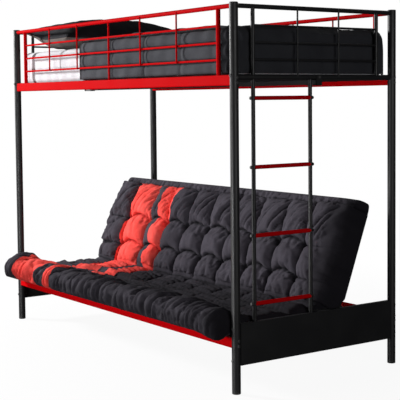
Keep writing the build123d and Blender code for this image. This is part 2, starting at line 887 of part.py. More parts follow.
def quilt_section(x, full, inset):
    """The quilt over the mattress: its channels bow up between the sewn rows."""
    front = mattress_front_y - quilt_skin + inset
    back = mattress_back_y + quilt_skin - inset
    pinch = quilt_top - quilt_channel_depth - inset
    bow = quilt_channel_depth * (1 + full) / 2
    points = [(front, quilt_hem), (back, quilt_hem), (back, pinch - quilt_rounding)]
    bulges = [0, 0, quilt_rounding * quarter_bulge]
    for y in spread(back - quilt_rounding, front + quilt_rounding, quilt_rows + 1):
        points.append((y, pinch))
        bulges.append(bow)
    bulges[-1] = quilt_rounding * quarter_bulge
    points.append((front, pinch - quilt_rounding))
    bulges.append(0)
    return section(points, bulges, at_x(x))


def make_quilt():
    """A quilt that hangs over the mattress's sides and right end."""
    last = quilt_right_x - quilt_rounding
    pitch = (last - quilt_left_x) / quilt_columns
    stations = [(quilt_left_x + pitch * i / 2, i % 2, 0) for i in range(2 * quilt_columns + 1)]
    half_turn = quilt_rounding * sqrt(1 / 2)
    stations += [(last + half_turn, 0, quilt_rounding - half_turn),
                 (quilt_right_x, 0, quilt_rounding)]
    quilt = loft([quilt_section(*station) for station in stations], ruled=True)
    bed = block((quilt_left_x, mattress_front_y - soft_gap, quilt_hem),
                (mattress_length / 2 + soft_gap, mattress_back_y + soft_gap, bedding_base))
    return quilt - bed


def make_pillow():
    """A plump pillow across the bed: each section is crowned, its ends fall away."""
    sections = []
    for share, height_share in zip(pillow_station_shares, pillow_height_shares):
        height = pillow_thickness * height_share
        taper = pillow_width * pillow_end_taper * (1 - height_share)
        near, far = pillow_left_x + taper, pillow_left_x + pillow_width - taper
        seam = bedding_base + height / 3
        points = [(near + pillow_edge, bedding_base), (far - pillow_edge, bedding_base),
                  (far, seam), (near, seam)]
        edge_bulge = height / 12
        bulges = [0, edge_bulge, height * 2 / 3, edge_bulge]
        y = depth_middle + pillow_length * (share - 1 / 2)
        sections.append(section(points, bulges, at_y(y)))
    return loft(sections, ruled=True)


# Every node of the assembly and the pieces it holds

sides = (("front", front_y, -1), ("back", back_y, 1))
ends = (("left", -post_x, -1), ("right", post_x, 1))
nodes = {
    "post_caps": [make_cap(x, y) for x, y in corners],
    "post_feet": [make_foot(x, y) for x, y in corners],
    "rail_bolts": make_rail_bolts() + make_bracket_bolts(),
    "end_bolts": make_end_bolts(),
    "centre_beam": [make_beam()],
    "beam_brackets": [make_beam_bracket(out) for out in (-1, 1)],
    "bunk_slats": make_slats(),
    "ladder_front_rail": [make_ladder_rail(ladder_front_y)],
    "ladder_back_rail": [make_ladder_rail(ladder_back_y)],
    "ladder_rung_bolts": make_rung_bolts(),
    "sofa_runners": [make_runner(out) for out in (-1, 1)],
    "sofa_bearers": [make_bearer(x) for x in (-inner_tube_offset, inner_tube_offset)],
    "guide_plates": [make_guide_plate(out) for out in (-1, 1)],
    "rail_glides": make_rail_glides(),
    "seat_front_tube": [make_seat_tube(seat_front_y)],
    "seat_rear_tube": [make_seat_tube(seat_rear_y)],
    "seat_cross_tubes": make_seat_cross_tubes(),
    "seat_strips": make_seat_strips(),
    "seat_glides": make_seat_glides(),
    "seat_hinge_lugs": make_seat_lugs(),
    "hinge_pins": make_hinge_pins(),
    "back_foot_tube": [make_back_tube(hinge_arm)],
    "back_top_tube": [make_back_tube(back_top)],
    "back_upright_tubes": make_back_uprights(),
    "back_strips": make_back_strips(),
    "back_hinge_lugs": make_back_lugs(),
    "guide_pins": make_guide_pins(),
    "futon_seat": [make_futon_seat()],
    "futon_back": [make_futon_back()],
    "bunk_mattress": [make_bunk_mattress()],
    "quilt": [make_quilt()],
    "pillow": [make_pillow()],
}
for side, y, out in sides:
    for end, x, _ in ends:
        nodes[f"{side}_{end}_post"] = [make_post(x, y)]
    nodes[f"{side}_side_rail"] = [make_side_rail(y, upper_rail_level)]
    nodes[f"sofa_{side}_rail"] = [make_side_rail(y, sofa_rail_level)]
    nodes[f"{side}_guard_rail"] = [make_side_top_rail(y)]
    nodes[f"{side}_guard_bars"] = make_side_bars(y)
    nodes[f"{side}_guard_uprights"] = make_side_uprights(y, out)
for end, x, out in ends:
    nodes[f"{end}_end_rail"] = [make_end_top_rail(x)]
    nodes[f"{end}_end_bars"] = make_end_bars(x)
    nodes[f"{end}_end_uprights"] = make_end_uprights(x, out)
    nodes[f"{end}_crossbar"] = [make_crossbar(x)]
    nodes[f"{end}_end_panel"] = [make_end_panel(x, out)]
for i, z in enumerate(rung_levels):
    nodes[f"ladder_rung_{i + 1}"] = [make_rung(z)]

os.makedirs("parts", exist_ok=True)
for name, pieces in nodes.items():
    solids = [solid for piece in pieces for solid in piece.solids()]
    export_step(Compound(solids), f"parts/{name}.step")
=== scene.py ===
import json
from math import cos, pi, radians, sin
from types import SimpleNamespace as Named

import bmesh
import bpy
import numpy as np
from mathutils import Matrix, Vector


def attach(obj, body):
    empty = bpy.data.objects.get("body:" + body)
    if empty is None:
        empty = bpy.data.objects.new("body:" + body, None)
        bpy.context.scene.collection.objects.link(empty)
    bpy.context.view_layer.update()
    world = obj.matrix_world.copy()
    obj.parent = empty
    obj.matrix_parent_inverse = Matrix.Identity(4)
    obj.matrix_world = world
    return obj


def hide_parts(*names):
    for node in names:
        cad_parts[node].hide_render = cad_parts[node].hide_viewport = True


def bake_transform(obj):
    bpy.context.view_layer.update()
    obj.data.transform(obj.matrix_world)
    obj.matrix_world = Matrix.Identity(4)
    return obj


# Sofa bunk bed: materials for the steel parts, and the futon, mattress, quilt and pillow.
# Metres, in the part's frame: the floor is z = 0 and the sofa faces -Y.
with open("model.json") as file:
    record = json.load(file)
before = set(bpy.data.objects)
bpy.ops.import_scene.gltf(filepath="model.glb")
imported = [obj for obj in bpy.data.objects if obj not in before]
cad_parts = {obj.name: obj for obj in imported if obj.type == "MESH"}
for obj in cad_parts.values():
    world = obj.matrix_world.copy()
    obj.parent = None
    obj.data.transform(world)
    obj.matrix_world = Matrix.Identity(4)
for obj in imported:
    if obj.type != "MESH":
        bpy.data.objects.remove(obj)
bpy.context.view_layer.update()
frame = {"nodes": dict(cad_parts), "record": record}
randomStart = 7


# Shader maths: a Wire is one output socket, and sums of wires make math nodes

class Wire:
    def __init__(self, shader, socket):
        self.shader, self.socket = shader, socket

    def math(self, operation, other):
        return self.shader.node("ShaderNodeMath", {"operation": operation}, [self, other])

    def reflected(self, operation, other):
        return self.shader.node("ShaderNodeMath", {"operation": operation}, [other, self])

    def __add__(self, other):
        return self.math("ADD", other)

    __radd__ = __add__

    def __sub__(self, other):
        return self.math("SUBTRACT", other)

    def __rsub__(self, other):
        return self.reflected("SUBTRACT", other)

    def __mul__(self, other):
        return self.math("MULTIPLY", other)

    __rmul__ = __mul__

    def __truediv__(self, other):
        return self.math("DIVIDE", other)

    def __rtruediv__(self, other):
        return self.reflected("DIVIDE", other)

    def __gt__(self, other):
        return self.math("GREATER_THAN", other)

    def __lt__(self, other):
        return self.math("LESS_THAN", other)

    def smooth(self, low, high):
        settings = {"interpolation_type": "SMOOTHSTEP"}
        return self.shader.node("ShaderNodeMapRange", settings, [self, low, high, 0, 1])


class Shader:
    def __init__(self, name):
        self.material = bpy.data.materials.new(name)
        self.material.use_nodes = True
        self.tree = self.material.node_tree
        self.tree.nodes.clear()
        self.surface = self.tree.nodes.new("ShaderNodeBsdfPrincipled")
        self.output = self.tree.nodes.new("ShaderNodeOutputMaterial")
        self.tree.links.new(self.surface.outputs[0], self.output.inputs[0])

    def plug(self, socket, value):
        if isinstance(value, Wire):
            self.tree.links.new(value.socket, socket)
        else:
            socket.default_value = value

    def node(self, kind, settings=None, inputs=(), out=0):
        made = self.tree.nodes.new(kind)
        for name, value in (settings or {}).items():
            setattr(made, name, value)
        pairs = inputs.items() if isinstance(inputs, dict) else enumerate(inputs)
        for key, value in pairs:
            self.plug(made.inputs[key], value)
        return Wire(self, made.outputs[out])

    def mix(self, factor, first, second):
        inputs = {0: factor, 6: first, 7: second}
        return self.node("ShaderNodeMix", {"data_type": "RGBA"}, inputs, 2)

    def place(self):
        return self.node("ShaderNodeTexCoord", out=3)

    def held(self, name, out=2):
        return self.node("ShaderNodeAttribute", {"attribute_name": name}, out=out)

    def stretched(self, vector, scale):
        return self.node("ShaderNodeVectorMath", {"operation": "MULTIPLY"}, [vector, scale])

    def noise(self, vector, scale, detail=2, roughness=0.5):
        inputs = {"Vector": vector, "Scale": scale, "Detail": detail, "Roughness": roughness}
        return self.node("ShaderNodeTexNoise", None, inputs)

    def bump(self, height, strength, distance):
        inputs = {"Strength": strength, "Distance": distance, "Height": height}
        return self.node("ShaderNodeBump", None, inputs)

    def paint(self, **inputs):
        for name, value in inputs.items():
            self.plug(self.surface.inputs[name.replace("_", " ")], value)
        return self.material


# Materials of the hard parts

coat = {
    "cloud": 7, "cloudDetail": 3, "cloudRange": (0.35, 0.75), "share": 0.12, "spread": 0.1,
    "speck": 300, "speckRange": (0.66, 0.8),
    "grain": 900, "grainDetail": 1, "grainRoughness": 0.4, "strength": 0.35, "depth": 0.00012,
}
plastic = {
    "cloud": 35, "cloudDetail": 4, "cloudRange": (0.3, 0.7), "share": 0.3, "spread": 0.12,
    "roughness": 0.5, "grain": 1400, "strength": 0.3, "depth": 0.00015,
}
hardLooks = {
    "blackCoat": {**coat, "plain": (0.011, 0.011, 0.012), "worn": (0.022, 0.022, 0.024),
                  "roughness": 0.42, "shine": 0.45},
    "redCoat": {**coat, "plain": (0.54, 0.001, 0.003), "worn": (0.58, 0.004, 0.006),
                "roughness": 0.60, "shine": 0.01},
    "boltBlack": {"plain": (0.07, 0.07, 0.075), "worn": (0.15, 0.148, 0.145), "metal": 0.9,
                  "cloud": 160, "cloudDetail": 3, "cloudRange": (0.3, 0.7), "share": 1,
                  "roughness": 0.55, "spread": 0.15, "stretch": (900, 60, 900), "grain": 3,
                  "strength": 0.2, "depth": 0.0001},
    "blackPlastic": {**plastic, "plain": (0.012, 0.012, 0.012), "worn": (0.035, 0.035, 0.035)},
    "nylon": {**plastic, "plain": (0.55, 0.55, 0.52), "worn": (0.42, 0.42, 0.38)},
}


def makeHard(name):
    look = hardLooks[name]
    shader = Shader(name)
    place = shader.place()
    worn = (*look["worn"], 1)
    cloud = shader.noise(place, look["cloud"], look["cloudDetail"]).smooth(*look["cloudRange"])
    base = shader.mix(cloud * look["share"], (*look["plain"], 1), worn)
    if "speck" in look:
        speck = shader.noise(place, look["speck"], 1).smooth(*look["speckRange"])
        base = shader.mix(speck * look["share"], base, worn)
    if "stretch" in look:
        place = shader.stretched(place, look["stretch"])
    grain = shader.noise(place, look["grain"], look.get("grainDetail", 2),
                         look.get("grainRoughness", 0.5))
    return shader.paint(Base_Color=base, Roughness=cloud * look["spread"] + look["roughness"],
                        Normal=shader.bump(grain, look["strength"], look["depth"]),
                        Metallic=look.get("metal", 0), Specular_IOR_Level=look.get("shine", 0.5))


# Materials of the soft parts

weaveSettings = {
    "distortion": 0.6, "detail": 2, "slubStretch": (1, 6, 1), "roughSpread": 0.1,
    "shine": 0.06, "sheenRoughness": 0.6, "strength": 0.4,
    # the hollow share sets how far a cloth goes towards its third colour: painted shade on the
    # futon and quilt, the underside colour on the pillow's under sheet
    "patchRange": (0.25, 0.75), "patchRoughness": 0.6, "hollowShare": 0.85,
    # size of the patches and slubs per metre, depth of the threads, and the surface
    "futon": {"patch": 9, "slub": 300, "depth": 0.0004, "roughness": 0.9, "sheen": 0.012},
    "plain": {"patch": 6, "slub": 350, "depth": 0.0003, "roughness": 0.88, "sheen": 0.02},
}


def wovenCloth(shader, base, paintedShadeAndUnderColour, weave, thread, kind):
    own = Named(**weaveSettings)
    # painted shade: the cloth darkens towards its shade colour where the attribute marks creases
    # and shaded places; on the pillow the same attribute gives the under sheet its underside
    # colour
    base = shader.mix(shader.held("hollow") * own.hollowShare, base, paintedShadeAndUnderColour)
    inputs = {"Vector": weave, "Scale": thread, "Distortion": own.distortion,
              "Detail Scale": own.detail}
    across, along = (shader.node("ShaderNodeTexWave", {"bands_direction": axis}, inputs)
                     for axis in "XY")
    uneven = shader.noise(shader.stretched(weave, own.slubStretch), kind["slub"], 3)
    bumped = shader.bump(across * along + uneven, own.strength, kind["depth"])
    rough = uneven * own.roughSpread + (kind["roughness"] - own.roughSpread / 2)
    return shader.paint(Base_Color=base, Roughness=rough, Specular_IOR_Level=own.shine,
                        Sheen_Weight=kind["sheen"], Normal=bumped,
                        Sheen_Roughness=own.sheenRoughness)


# Cloths' colours: plain, worn, and the painted shade colour for creases and shaded places; the
# pillow's third colour is that of its under sheet
clothColours = {
    "charcoal": ((0.045, 0.040, 0.050), (0.063, 0.057, 0.071), (0.002, 0.002, 0.003)),
    "coral": ((0.88, 0.072, 0.058), (0.90, 0.105, 0.088), (0.34, 0.010, 0.009)),
    "white": ((0.66, 0.66, 0.69), (0.60, 0.61, 0.64), (0.60, 0.61, 0.64)),
    "quilt": ((0.048, 0.049, 0.057), (0.066, 0.068, 0.077), (0.008, 0.008, 0.010)),
    "pillow": ((0.017, 0.017, 0.020), (0.027, 0.027, 0.032), (0.19, 0.165, 0.150)),
}


def patched(shader, weave, kind, colour):
    # the third colour is the painted shade colour; for the pillow it is the underside colour
    plain, worn, paintedShadeAndUnderColour = ((*shade, 1) for shade in clothColours[colour])
    cloud = shader.noise(weave, kind["patch"], 4, weaveSettings["patchRoughness"])
    return shader.mix(cloud.smooth(*weaveSettings["patchRange"]), plain, worn), paintedShadeAndUnderColour


def makeFutonCloth():
    shader, kind = Shader("futonCloth"), weaveSettings["futon"]
    weave = shader.held("weave", 1)
    # the stripe value counts the stripes' edges from the left, so coral starts at 1 and 3
    stripe = shader.held("stripe")
    coral = (stripe > 1) * (stripe < 2) + (stripe > 3) * (stripe < 4)
    dark, darkPaintedShade = patched(shader, weave, kind, "charcoal")
    red, redPaintedShade = patched(shader, weave, kind, "coral")
    # the painted shade colour follows the stripes as well
    base, paintedShadeAndUnderColour = shader.mix(coral, dark, red), shader.mix(coral, darkPaintedShade, redPaintedShade)
    return wovenCloth(shader, base, paintedShadeAndUnderColour, weave, 260, kind)


def makePlainCloth(name, colour, thread):
    shader, kind = Shader(name), weaveSettings["plain"]
    weave = shader.held("weave", 1)
    base, paintedShadeAndUnderColour = patched(shader, weave, kind, colour)
    return wovenCloth(shader, base, paintedShadeAndUnderColour, weave, thread, kind)


futonCloth = makeFutonCloth()
sheetCloth = makePlainCloth("sheetCloth", "white", 420)
quiltCloth = makePlainCloth("quiltCloth", "quilt", 320)
pillowCloth = makePlainCloth("pillowCloth", "pillow", 380)

slotMaterials = {
    "black_frame": makeHard("blackCoat"), "red_frame": makeHard("redCoat"),
    "bolt_steel": makeHard("boltBlack"), "black_plastic": makeHard("blackPlastic"),
    "nylon_glide": makeHard("nylon"), "futon_cloth": futonCloth, "sheet_cloth": sheetCloth,
    "quilt_cloth": quiltCloth, "pillow_cloth": pillowCloth,
}
for part in frame["record"]["subparts"]:
    node = frame["nodes"][part["node"]]
    node.data.materials.clear()
    node.data.materials.append(slotMaterials[part["material_slot"]])
print("materials done")


# Mesh helpers

def quadsOf(index):
    corners = (index[:-1, :-1], index[:-1, 1:], index[1:, 1:], index[1:, :-1])
    return np.stack(corners, axis=-1).reshape(-1, 4)


def newObject(name, data):
    made = bpy.data.objects.new(name, data)
    bpy.context.collection.objects.link(made)
    return made


def shadeSmooth(mesh):
    mesh.polygons.foreach_set("use_smooth", [True] * len(mesh.polygons))


def makeObject(name, points, faces, material):
    mesh = bpy.data.meshes.new(name)
    mesh.from_pydata(points.tolist(), [], [list(map(int, face)) for face in faces])
    mesh.update()
    mesh.materials.append(material)
    shadeSmooth(mesh)
    return newObject(name, mesh)


def vertexValues(made, name):
    values = np.zeros(len(made.data.vertices) * 3)
    made.data.vertices.foreach_get(name, values)
    return values.reshape(-1, 3)


def padValues(top, under):
    # values of both sheets in the order of a pad's points
    return np.concatenate([top.reshape(-1, *top.shape[2:]),
                           under[1:-1, 1:-1].reshape(-1, *under.shape[2:])])


def padObject(name, top, under, material):
    # two sheets that share their edge, so only the inner points of the under one are new
    rows, columns = top.shape[:2]
    topIndex = np.arange(rows * columns).reshape(rows, columns)
    underIndex = topIndex.copy()
    inner = np.arange((rows - 2) * (columns - 2)).reshape(rows - 2, columns - 2)
    underIndex[1:-1, 1:-1] = rows * columns + inner
    faces = np.concatenate([quadsOf(topIndex), quadsOf(underIndex)[:, ::-1]])
    return makeObject(name, padValues(top, under), faces, material)


def giveAttribute(made, name, values):
    kind = "FLOAT_VECTOR" if values.ndim == 2 else "FLOAT"
    attribute = made.data.attributes.new(name, kind, "POINT")
    field = "vector" if values.ndim == 2 else "value"
    attribute.data.foreach_set(field, values.astype(np.float32).ravel())


def giveWeave(made, across, along, apart=0):
    # where each point lies in the cloth, with the under sheet that far apart
    weave = np.stack([across, along, np.zeros_like(across)], -1)
    giveAttribute(made, "weave", padValues(weave, weave + apart))


def applyModifiers(made):
    graph = bpy.context.evaluated_depsgraph_get()
    final = bpy.data.meshes.new_from_object(made.evaluated_get(graph))
    made.modifiers.clear()
    made.data = final


def smoothed(made, levels=1):
    modifier = made.modifiers.new("subdivision", "SUBSURF")
    modifier.levels = modifier.render_levels = levels
    applyModifiers(made)
    shadeSmooth(made.data)


def normalsOf(grid):
    alongRows = np.gradient(grid, axis=0)
    alongColumns = np.gradient(grid, axis=1)
    normal = np.cross(alongColumns, alongRows)
    return normal / np.maximum(np.linalg.norm(normal, axis=-1, keepdims=True), 1e-9)


def step(value, low, high):
    # 0 below low, 1 above high and smooth between them
    share = np.clip((value - low) / (high - low), 0, 1)
    return share * share * (3 - 2 * share)


def dome(share, power, steepness=1):
    # 1 at share 0, and down to 0 where share is 1 or -1
    return np.maximum(1 - np.abs(share) ** power, 0) ** steepness


def waves(values, seed, lowest, count):
    # a smooth random line: a sum of sines
    random = np.random.default_rng(seed)
    total = np.zeros_like(values)
    for i in range(count):
        rate = lowest * (1 + i * 0.73)
        total += np.sin(values * rate * 2 * pi + random.uniform(0, 2 * pi)) / (1 + 0.5 * i)
    return total / 2


def cloudOf(first, second, seed, size):
    # smooth random field over a grid, from sines in several directions
    random = np.random.default_rng(seed)
    total = np.zeros_like(first)
    for _ in range(9):
        angle = random.uniform(0, pi)
        rate = 2 * pi / size * random.uniform(0.6, 1.7)
        phase = random.uniform(0, 2 * pi)
        total += np.sin((first * cos(angle) + second * sin(angle)) * rate + phase)
    return total / 4


def valleys(first, second, seed, sharpness=0.7):
    # smooth random field whose zero lines are sharp valleys, from 0 to about 1
    table = np.random.default_rng(seed).random((61, 61))
    i, j = np.floor(first).astype(int), np.floor(second).astype(int)
    a, b = first - i, second - j
    a, b = a * a * (3 - 2 * a), b * b * (3 - 2 * b)
    corner = [[table[(i + u) % 61, (j + v) % 61] for v in (0, 1)] for u in (0, 1)]
    mixed = [side[0] * (1 - b) + side[1] * b for side in corner]
    return np.abs(2 * (mixed[0] * (1 - a) + mixed[1] * a) - 1) ** sharpness


# Folds by kind: height, size in the two directions given, seed, sharpness, level of their foot
foldKinds = {
    "pleat": (0.017, 0.046, 0.20, 61, 0.8, 0.45),
    "smallPleat": (0.007, 0.019, 0.12, 62, 0.8, 0.45),
    "bandGather": (0.004, 0.017, 0.2, 63, 0.7, 0.5),
    "rowCrease": (0.006, 0.055, 0.11, 64, 0.7, 0.5),
    "endFold": (0.016, 0.07, 0.32, 65, 0.9, 0.45),
    "endCrease": (0.006, 0.026, 0.2, 66, 0.9, 0.45),
    "leftFold": (0.014, 0.06, 0.25, 67, 0.9, 0.45),
    "rollArc": (0.024, 0.050, 0.34, 71, 0.75, 0.5),
    "rollGather": (0.018, 0.021, 0.18, 72, 0.9, 0.45),
    "seatFold": (0.034, 0.60, 0.062, 73, 0.7, 0.45),
    "seatCrease": (0.008, 0.30, 0.026, 74, 0.8, 0.45),
    "fineCrease": (0.0018, 0.015, 0.028, 92, 0.9, 0.5),
}


def foldsOf(kind, share, first, second):
    height, width, length, seed, sharpness, level = foldKinds[kind]
    return share * height * (valleys(first / width, second / length, seed, sharpness) - level)


# The futon: one mattress over both halves, bent at the crease

futonSettings = {
    "halfLength": 1.0, "hinge": (0.1985, 0.254), "lean": 21, "foldReach": 0.06,
    "grooves": (-0.792, -0.572, -0.400, -0.205, -0.006, 0.186, 0.382, 0.582, 0.772),
    # the cover's lines: y and z on the seat, and up and forward from the hinge on the back
    "seatTop": [(-0.515, 0.26), (-0.533, 0.274), (-0.54, 0.302), (-0.534, 0.332),
                (-0.514, 0.354), (-0.478, 0.364), (-0.43, 0.36), (-0.37, 0.342),
                (-0.3, 0.326), (-0.2015, 0.312), (-0.1015, 0.305), (0, 0.301),
                (0.06, 0.3), (0.094, 0.302)],
    "seatUnder": [(-0.515, 0.26), (-0.49, 0.253), (-0.462, 0.256), (-0.448, 0.2682),
                  (0.1, 0.2682), (0.189, 0.2682)],
    "backTop": [(0.02, 0.108), (0.1, 0.107), (0.3, 0.106), (0.48, 0.102),
                (0.5, 0.096), (0.535, 0.088), (0.547, 0.072), (0.549, 0.045)],
    "backUnder": [(0.0093, 0.0142), (0.08, 0.0142), (0.544, 0.0142), (0.549, 0.03),
                  (0.549, 0.045)],
    "passesTop": 5, "passesUnder": 3, "seatRun": 0.68, "backRun": 0.60, "spacing": 0.0056,
    # a row's place is y on the seat, and one more than its way up on the back
    "backFrom": 0.8,
    "leftRounding": 0.034, "leftPower": 3.4, "leftSteps": 9,
    "rightRounding": 0.075, "rightPower": 2.2, "rightSteps": 17,
    "seamReach": 0.1, "seamOver": 0.08, "seamShares": (0.2, 0.12, 0.12, 0),
    # the right end: its corner at the top, and the roll that swells and sags past the rail
    "seatCorner": 0.45, "topCorner": 0.05, "topFrom": 0.08, "topOver": 0.10,
    "cornerIn": 0.030, "cornerReach": 0.07, "cornerPower": 1.6, "cornerAcross": (0.6, 1.0),
    "lump": 0.014, "lumpReach": (0.10, 0.20),
    "sag": 0.016, "sagAcross": (0.86, 0.99), "sagReach": (0.10, 0.16),
    # puffs between the grooves and the rows of tufts
    "backRows": (0.006, 0.130, 0.286, 0.503), "backHeights": (0.046, 0.054, 0.046),
    "seatRows": (-0.5375, -0.3570, -0.2270, -0.0790, 0.0950),
    "seatHeights": (0.003, 0.003, 0.006, 0.022),
    "arch": 0.026, "sidePower": 2.2, "upPower": 2.3, "steepness": 0.52, "lift": (0.85, 1.15),
    "full": 1.08, "sunk": 0.22,
    "marginReach": 0.07, "marginSteep": 0.6, "marginDip": 0.6, "marginFade": 0.10,
    # tufts, and the spokes of cloth round them
    "tuftDepth": 0.012, "tuftReach": 0.022, "seatDip": 0.25, "spokeRim": (0.008, 0.03),
    "spokeReach": 0.065, "spokeTurn": 1.9, "spokeLength": 0.12, "spokeSeed": 81,
    "spokeLevel": 0.55, "spokeHeight": 0.011, "seatSpoke": 0.0015,
    # small creases, and how still the rounded edges stay
    "flatFrom": (0.20, 0.26), "flatUntil": 0.045, "creaseHeight": 0.0045,
    "creaseSizes": (0.034, 0.06, 0.16, 0.030),
    "lively": 0.25, "livelyFrom": (0.04, 0.20), "endCalm": (0.0, 0.04),
    "frontCalm": (0, 0.012), "topCalm": (0.02, 0.06),
    # painted shade: passes of the blur, and the depths at which a hollow starts and is full; then
    # how dark the roll's front, the ladder end and the bunk's shadow are painted
    "wideBlur": 60, "wideDepth": (0.002, 0.016),
    "fineBlur": 6, "fineDepth": (0.0004, 0.0035), "fineShare": 0.9,
    "frontShade": 0.75, "frontReach": (0.05, 0.13),
    "endShade": (0.9, 0.85), "endAcross": (0.82, 0.97),
    "bunkShade": 0.50, "behindRoll": 0.28, "behindFrom": (0.16, 0.24), "behindTo": (-0.06, 0.05),
    "bunkAcross": (-0.44, -0.40),
    # the back's ends reach over the frame, and the seat's stay between the posts
    "overFrame": 0.022, "overFrom": (1.06, 1.10), "overAcross": (0.010, 0.020),
    "overTop": 0.03, "room": 0.002, "roomInFront": 0.014, "postFront": (0.432, 0.446),
    "beforeStripes": 0.3, "afterStripes": 2.2, "plainBand": 0.004,
}
# Where the stripes' edges lie along X, by the row's place: at the seat's front and at the
# back's foot, middle and top
stripeEdges = {
    -0.54: (-0.850, -0.612, -0.524, -0.446),
    1.02: (-0.806, -0.572, -0.488, -0.398),
    1.20: (-0.810, -0.572, -0.490, -0.398),
    1.52: (-0.790, -0.570, -0.462, -0.322),
}


def walkedAlong(points):
    # how far along a line each of its points is
    return np.concatenate([[0], np.cumsum(np.linalg.norm(np.diff(points, axis=0), axis=1))])


def alongLine(points, shares):
    # points at some shares of a line's length
    points = np.array(points, float)
    lengths = walkedAlong(points)
    return np.stack([np.interp(shares * lengths[-1], lengths, points[:, i]) for i in (0, 1)], -1)


def rounded(points, passes):
    # softens the corners of a line but keeps its ends
    for _ in range(passes):
        points[1:-1] = (points[:-2] + 2 * points[1:-1] + points[2:]) / 4
    return points


def backPlace(s, t):
    # y and z of a point s up along the back and t forward from it
    lean = radians(futonSettings["lean"])
    y, z = futonSettings["hinge"]
    return y + s * sin(lean) - t * cos(lean), z + s * cos(lean) + t * sin(lean)


def edgeProfile(distance, radius, power):
    # 0 at an edge and 1 from the radius on, along a rounding
    share = np.clip(distance / radius, 0, 1)
    return dome(1 - share, power, 1 / power)


def makeFutonGrids():
    own = Named(**futonSettings)
    seatCount = int(own.seatRun / own.spacing)
    backCount = int(own.backRun / own.spacing)
    seatShares = np.linspace(0, 1, seatCount, endpoint=False)
    backShares = np.linspace(0, 1, backCount)
    lines = []
    for side in ("Top", "Under"):
        onBack = [backPlace(s, t) for s, t in futonSettings["back" + side]]
        onSeat = alongLine(futonSettings["seat" + side], seatShares)
        line = np.concatenate([onSeat, alongLine(onBack, backShares)])
        lines.append(rounded(line, futonSettings["passes" + side]))
    top, under = lines
    lean = radians(own.lean)
    hingeY, hingeZ = own.hinge
    backS = (top[seatCount:, 0] - hingeY) * sin(lean) + (top[seatCount:, 1] - hingeZ) * cos(lean)
    rowPlace = np.concatenate([top[:seatCount, 0], 1 + backS])
    walked = walkedAlong(top)
    toTop = walked[-1] - walked

    half, left, right = own.halfLength, own.leftRounding, own.rightRounding
    middle = np.arange(-half + left, half - right + 0.001, own.spacing)
    leftTurn = np.linspace(0, pi / 2, own.leftSteps)[:-1]
    rightTurn = np.linspace(pi / 2, 0, own.rightSteps)[1:]
    across = np.concatenate([-half + left * (1 - np.cos(leftTurn)), middle,
                             half - right * (1 - np.cos(rightTurn))])
    backward = np.arange(len(top)) >= seatCount
    nearTop = 1 - np.clip((toTop - own.topFrom) / own.topOver, 0, 1)
    toCorner = right * np.where(backward, 1, own.seatCorner)
    toCorner = (toCorner + own.topCorner * nearTop ** 2)[:, None]
    endShare = edgeProfile(across + half, left, own.leftPower)[None, :]
    endShare = endShare * edgeProfile((half - across)[None, :], toCorner, own.rightPower)

    # at the ends the top falls to a seam: low on the seat, at the rear plane on the back
    crease = walked[seatCount]
    seamAt = (0, own.seamReach, crease, crease + own.seamOver)
    seamShare = np.interp(walked, seamAt, own.seamShares)
    seam = under + (top - under) * seamShare[:, None]
    # the top's right corner is rounded, and the roll's right end swells past the rail
    lumpOut = own.lump * (1 - step(walked, *own.lumpReach))
    cornerEdge = edgeProfile(toTop, own.cornerReach, own.cornerPower)
    cornerIn = own.cornerIn * (1 - cornerEdge) - lumpOut
    sag = np.outer(1 - step(walked, *own.sagReach), step(across, *own.sagAcross))
    grids = []
    for line in (top, under):
        grid = np.zeros((len(top), len(across), 3))
        grid[..., 0] = across[None, :]
        for axis in (0, 1):
            fall = (line - seam)[:, None, axis] * endShare
            grid[..., axis + 1] = seam[:, None, axis] + fall
        grid[..., 0] -= step(grid[..., 0], *own.cornerAcross) * cornerIn[:, None]
        grid[..., 2] -= own.sag * sag
        grids.append(grid)
    return *grids, rowPlace, walked, seatCount


def columnPlace(x):
    # number of the column of puffs, where across it from -1 to 1, and how far into a margin
    grooves = futonSettings["grooves"]
    shift = np.interp(x, grooves, np.arange(len(grooves)))
    number = np.clip(np.floor(shift), 0, len(grooves) - 2).astype(int)
    return number, 2 * (shift - number) - 1, np.maximum(grooves[0] - x, x - grooves[-1])


def puffField(x, place, backward):
    # how far each point of the cover stands out over its grooves
    own = Named(**futonSettings)
    random = np.random.default_rng(randomStart + backward)
    number, a, intoMargin = columnPlace(x)
    margin = intoMargin > 0
    marginTurn = np.clip(intoMargin / own.marginReach, 0, 1) * pi / 2
    marginSide = np.sin(marginTurn) ** own.marginSteep
    marginFade = np.exp(-(intoMargin / own.marginFade) ** 2)
    side = np.where(margin, marginSide, dome(a, own.sidePower, own.steepness))
    height = np.zeros_like(x)
    edges, heights = ((own.backRows, own.backHeights) if backward
                      else (own.seatRows, own.seatHeights))
    bow = np.where(margin, 0, 1 - a * a)
    for k in range(len(heights)):
        low = edges[k] + own.arch * bow * (backward and k > 0)
        high = edges[k + 1] + own.arch * bow * (backward and k < len(heights) - 1)
        b = (place - low) / (high - low)
        inside = (b >= 0) & (b <= 1)
        b = np.clip(b, 0, 1)
        lift = random.uniform(*own.lift, len(own.grooves))[number]
        up = dome(2 * b - 1, own.upPower, own.steepness)
        up = np.where(margin, 1 - (1 - up) * own.marginDip * marginFade, up)
        # fullest low down on the back, as the filling sinks
        filling = own.full - own.sunk * b if backward else 1
        height += inside * heights[k] * side * up * np.where(margin, 1, lift) * filling
    return height


def tuftPlaces(backward):
    # x and place of each tuft, and a number that varies its folds
    edges = futonSettings["backRows" if backward else "seatRows"][1:-1]
    return [(groove, edge, i + 3 * k) for k, edge in enumerate(edges)
            for i, groove in enumerate(futonSettings["grooves"])]


